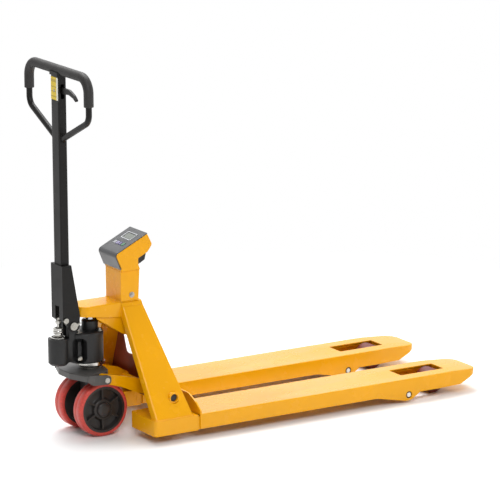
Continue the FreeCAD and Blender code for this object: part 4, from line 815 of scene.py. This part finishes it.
class PALLETSCALE_OT_indicator(bpy.types.Operator):
    """Finish the indicator: housing, film, display with its frame, keys and battery case"""
    bl_idname = "palletscale.indicator"
    bl_label = "Indicator"

    def execute(self, context):
        edge = context.scene.truck_sizes.plate_edge
        finish_node("indicator_housing", "frame", edge * 1.6, 3)
        finish_node("indicator_panel", "panel", edge * 0.8, 3)
        finish_node("battery_box", "case", edge)
        finish_node("display_lens", "lens", 0.0003)
        for key in KEYS:
            finish_node(f"key_{key}", f"key_{key}", 0.0011, 3)
        self.display_frame()
        return {"FINISHED"}

    def display_frame(self):
        """Frame the display with a thin raised film, open at its middle."""
        bm = bmesh.new()
        place = on_slope(0.094, 0.0, 0.0034)
        out = place.col[2].to_3d()
        rounded_plate(bm, 0.0175, 0.0300, 0.0010, 0.004, place)
        top = max(bm.faces, key=lambda face: face.normal.dot(out) * face.calc_area())
        bmesh.ops.inset_individual(bm, faces=[top], thickness=0.0030, depth=0.0)
        bmesh.ops.translate(bm, verts=top.verts, vec=out * -0.0005)
        bmesh.ops.delete(bm, geom=[top], context="FACES_ONLY")
        low = min(bm.faces, key=lambda face: face.normal.dot(out) * face.calc_area())
        bmesh.ops.delete(bm, geom=[low], context="FACES_ONLY")
        piece = add_piece("display_frame", bm, "bezel", "fork_frame")
        wall = piece.modifiers.new("Film thickness", "SOLIDIFY")
        wall.thickness = 0.0004
        wall.offset = -1.0


class PALLETSCALE_PT_panel(bpy.types.Panel):
    """Sidebar list of the truck's groups of pieces"""
    bl_idname = "PALLETSCALE_PT_panel"
    bl_label = "Pallet scale"
    bl_space_type = "VIEW_3D"
    bl_region_type = "UI"
    bl_category = "Pallet scale"

    def draw(self, context):
        for settings in (context.scene.truck_colours, context.scene.truck_sizes):
            for name in settings.__annotations__:
                self.layout.prop(settings, name)
        for operator in OPERATORS:
            self.layout.operator(operator.bl_idname)


OPERATORS = (PALLETSCALE_OT_stage, PALLETSCALE_OT_frame, PALLETSCALE_OT_gear, PALLETSCALE_OT_pump,
             PALLETSCALE_OT_wheels, PALLETSCALE_OT_handle, PALLETSCALE_OT_indicator)
CLASSES = (TruckColours, TruckSizes, *OPERATORS, PALLETSCALE_PT_panel)


def register():
    """Add the settings, operators and panel."""
    for item in CLASSES:
        bpy.utils.register_class(item)
    bpy.types.Scene.truck_colours = bpy.props.PointerProperty(type=TruckColours)
    bpy.types.Scene.truck_sizes = bpy.props.PointerProperty(type=TruckSizes)


def unregister():
    """Take the settings, operators and panel away again."""
    del bpy.types.Scene.truck_sizes
    del bpy.types.Scene.truck_colours
    for item in reversed(CLASSES):
        bpy.utils.unregister_class(item)


def main():
    """Build and finish the truck."""
    register()
    make_materials(bpy.context.scene.truck_colours)
    bpy.ops.palletscale.stage()
    bpy.ops.palletscale.frame()
    bpy.ops.palletscale.gear()
    bpy.ops.palletscale.pump()
    bpy.ops.palletscale.wheels()
    bpy.ops.palletscale.handle()
    bpy.ops.palletscale.indicator()


if __name__ == "__main__":
    main()
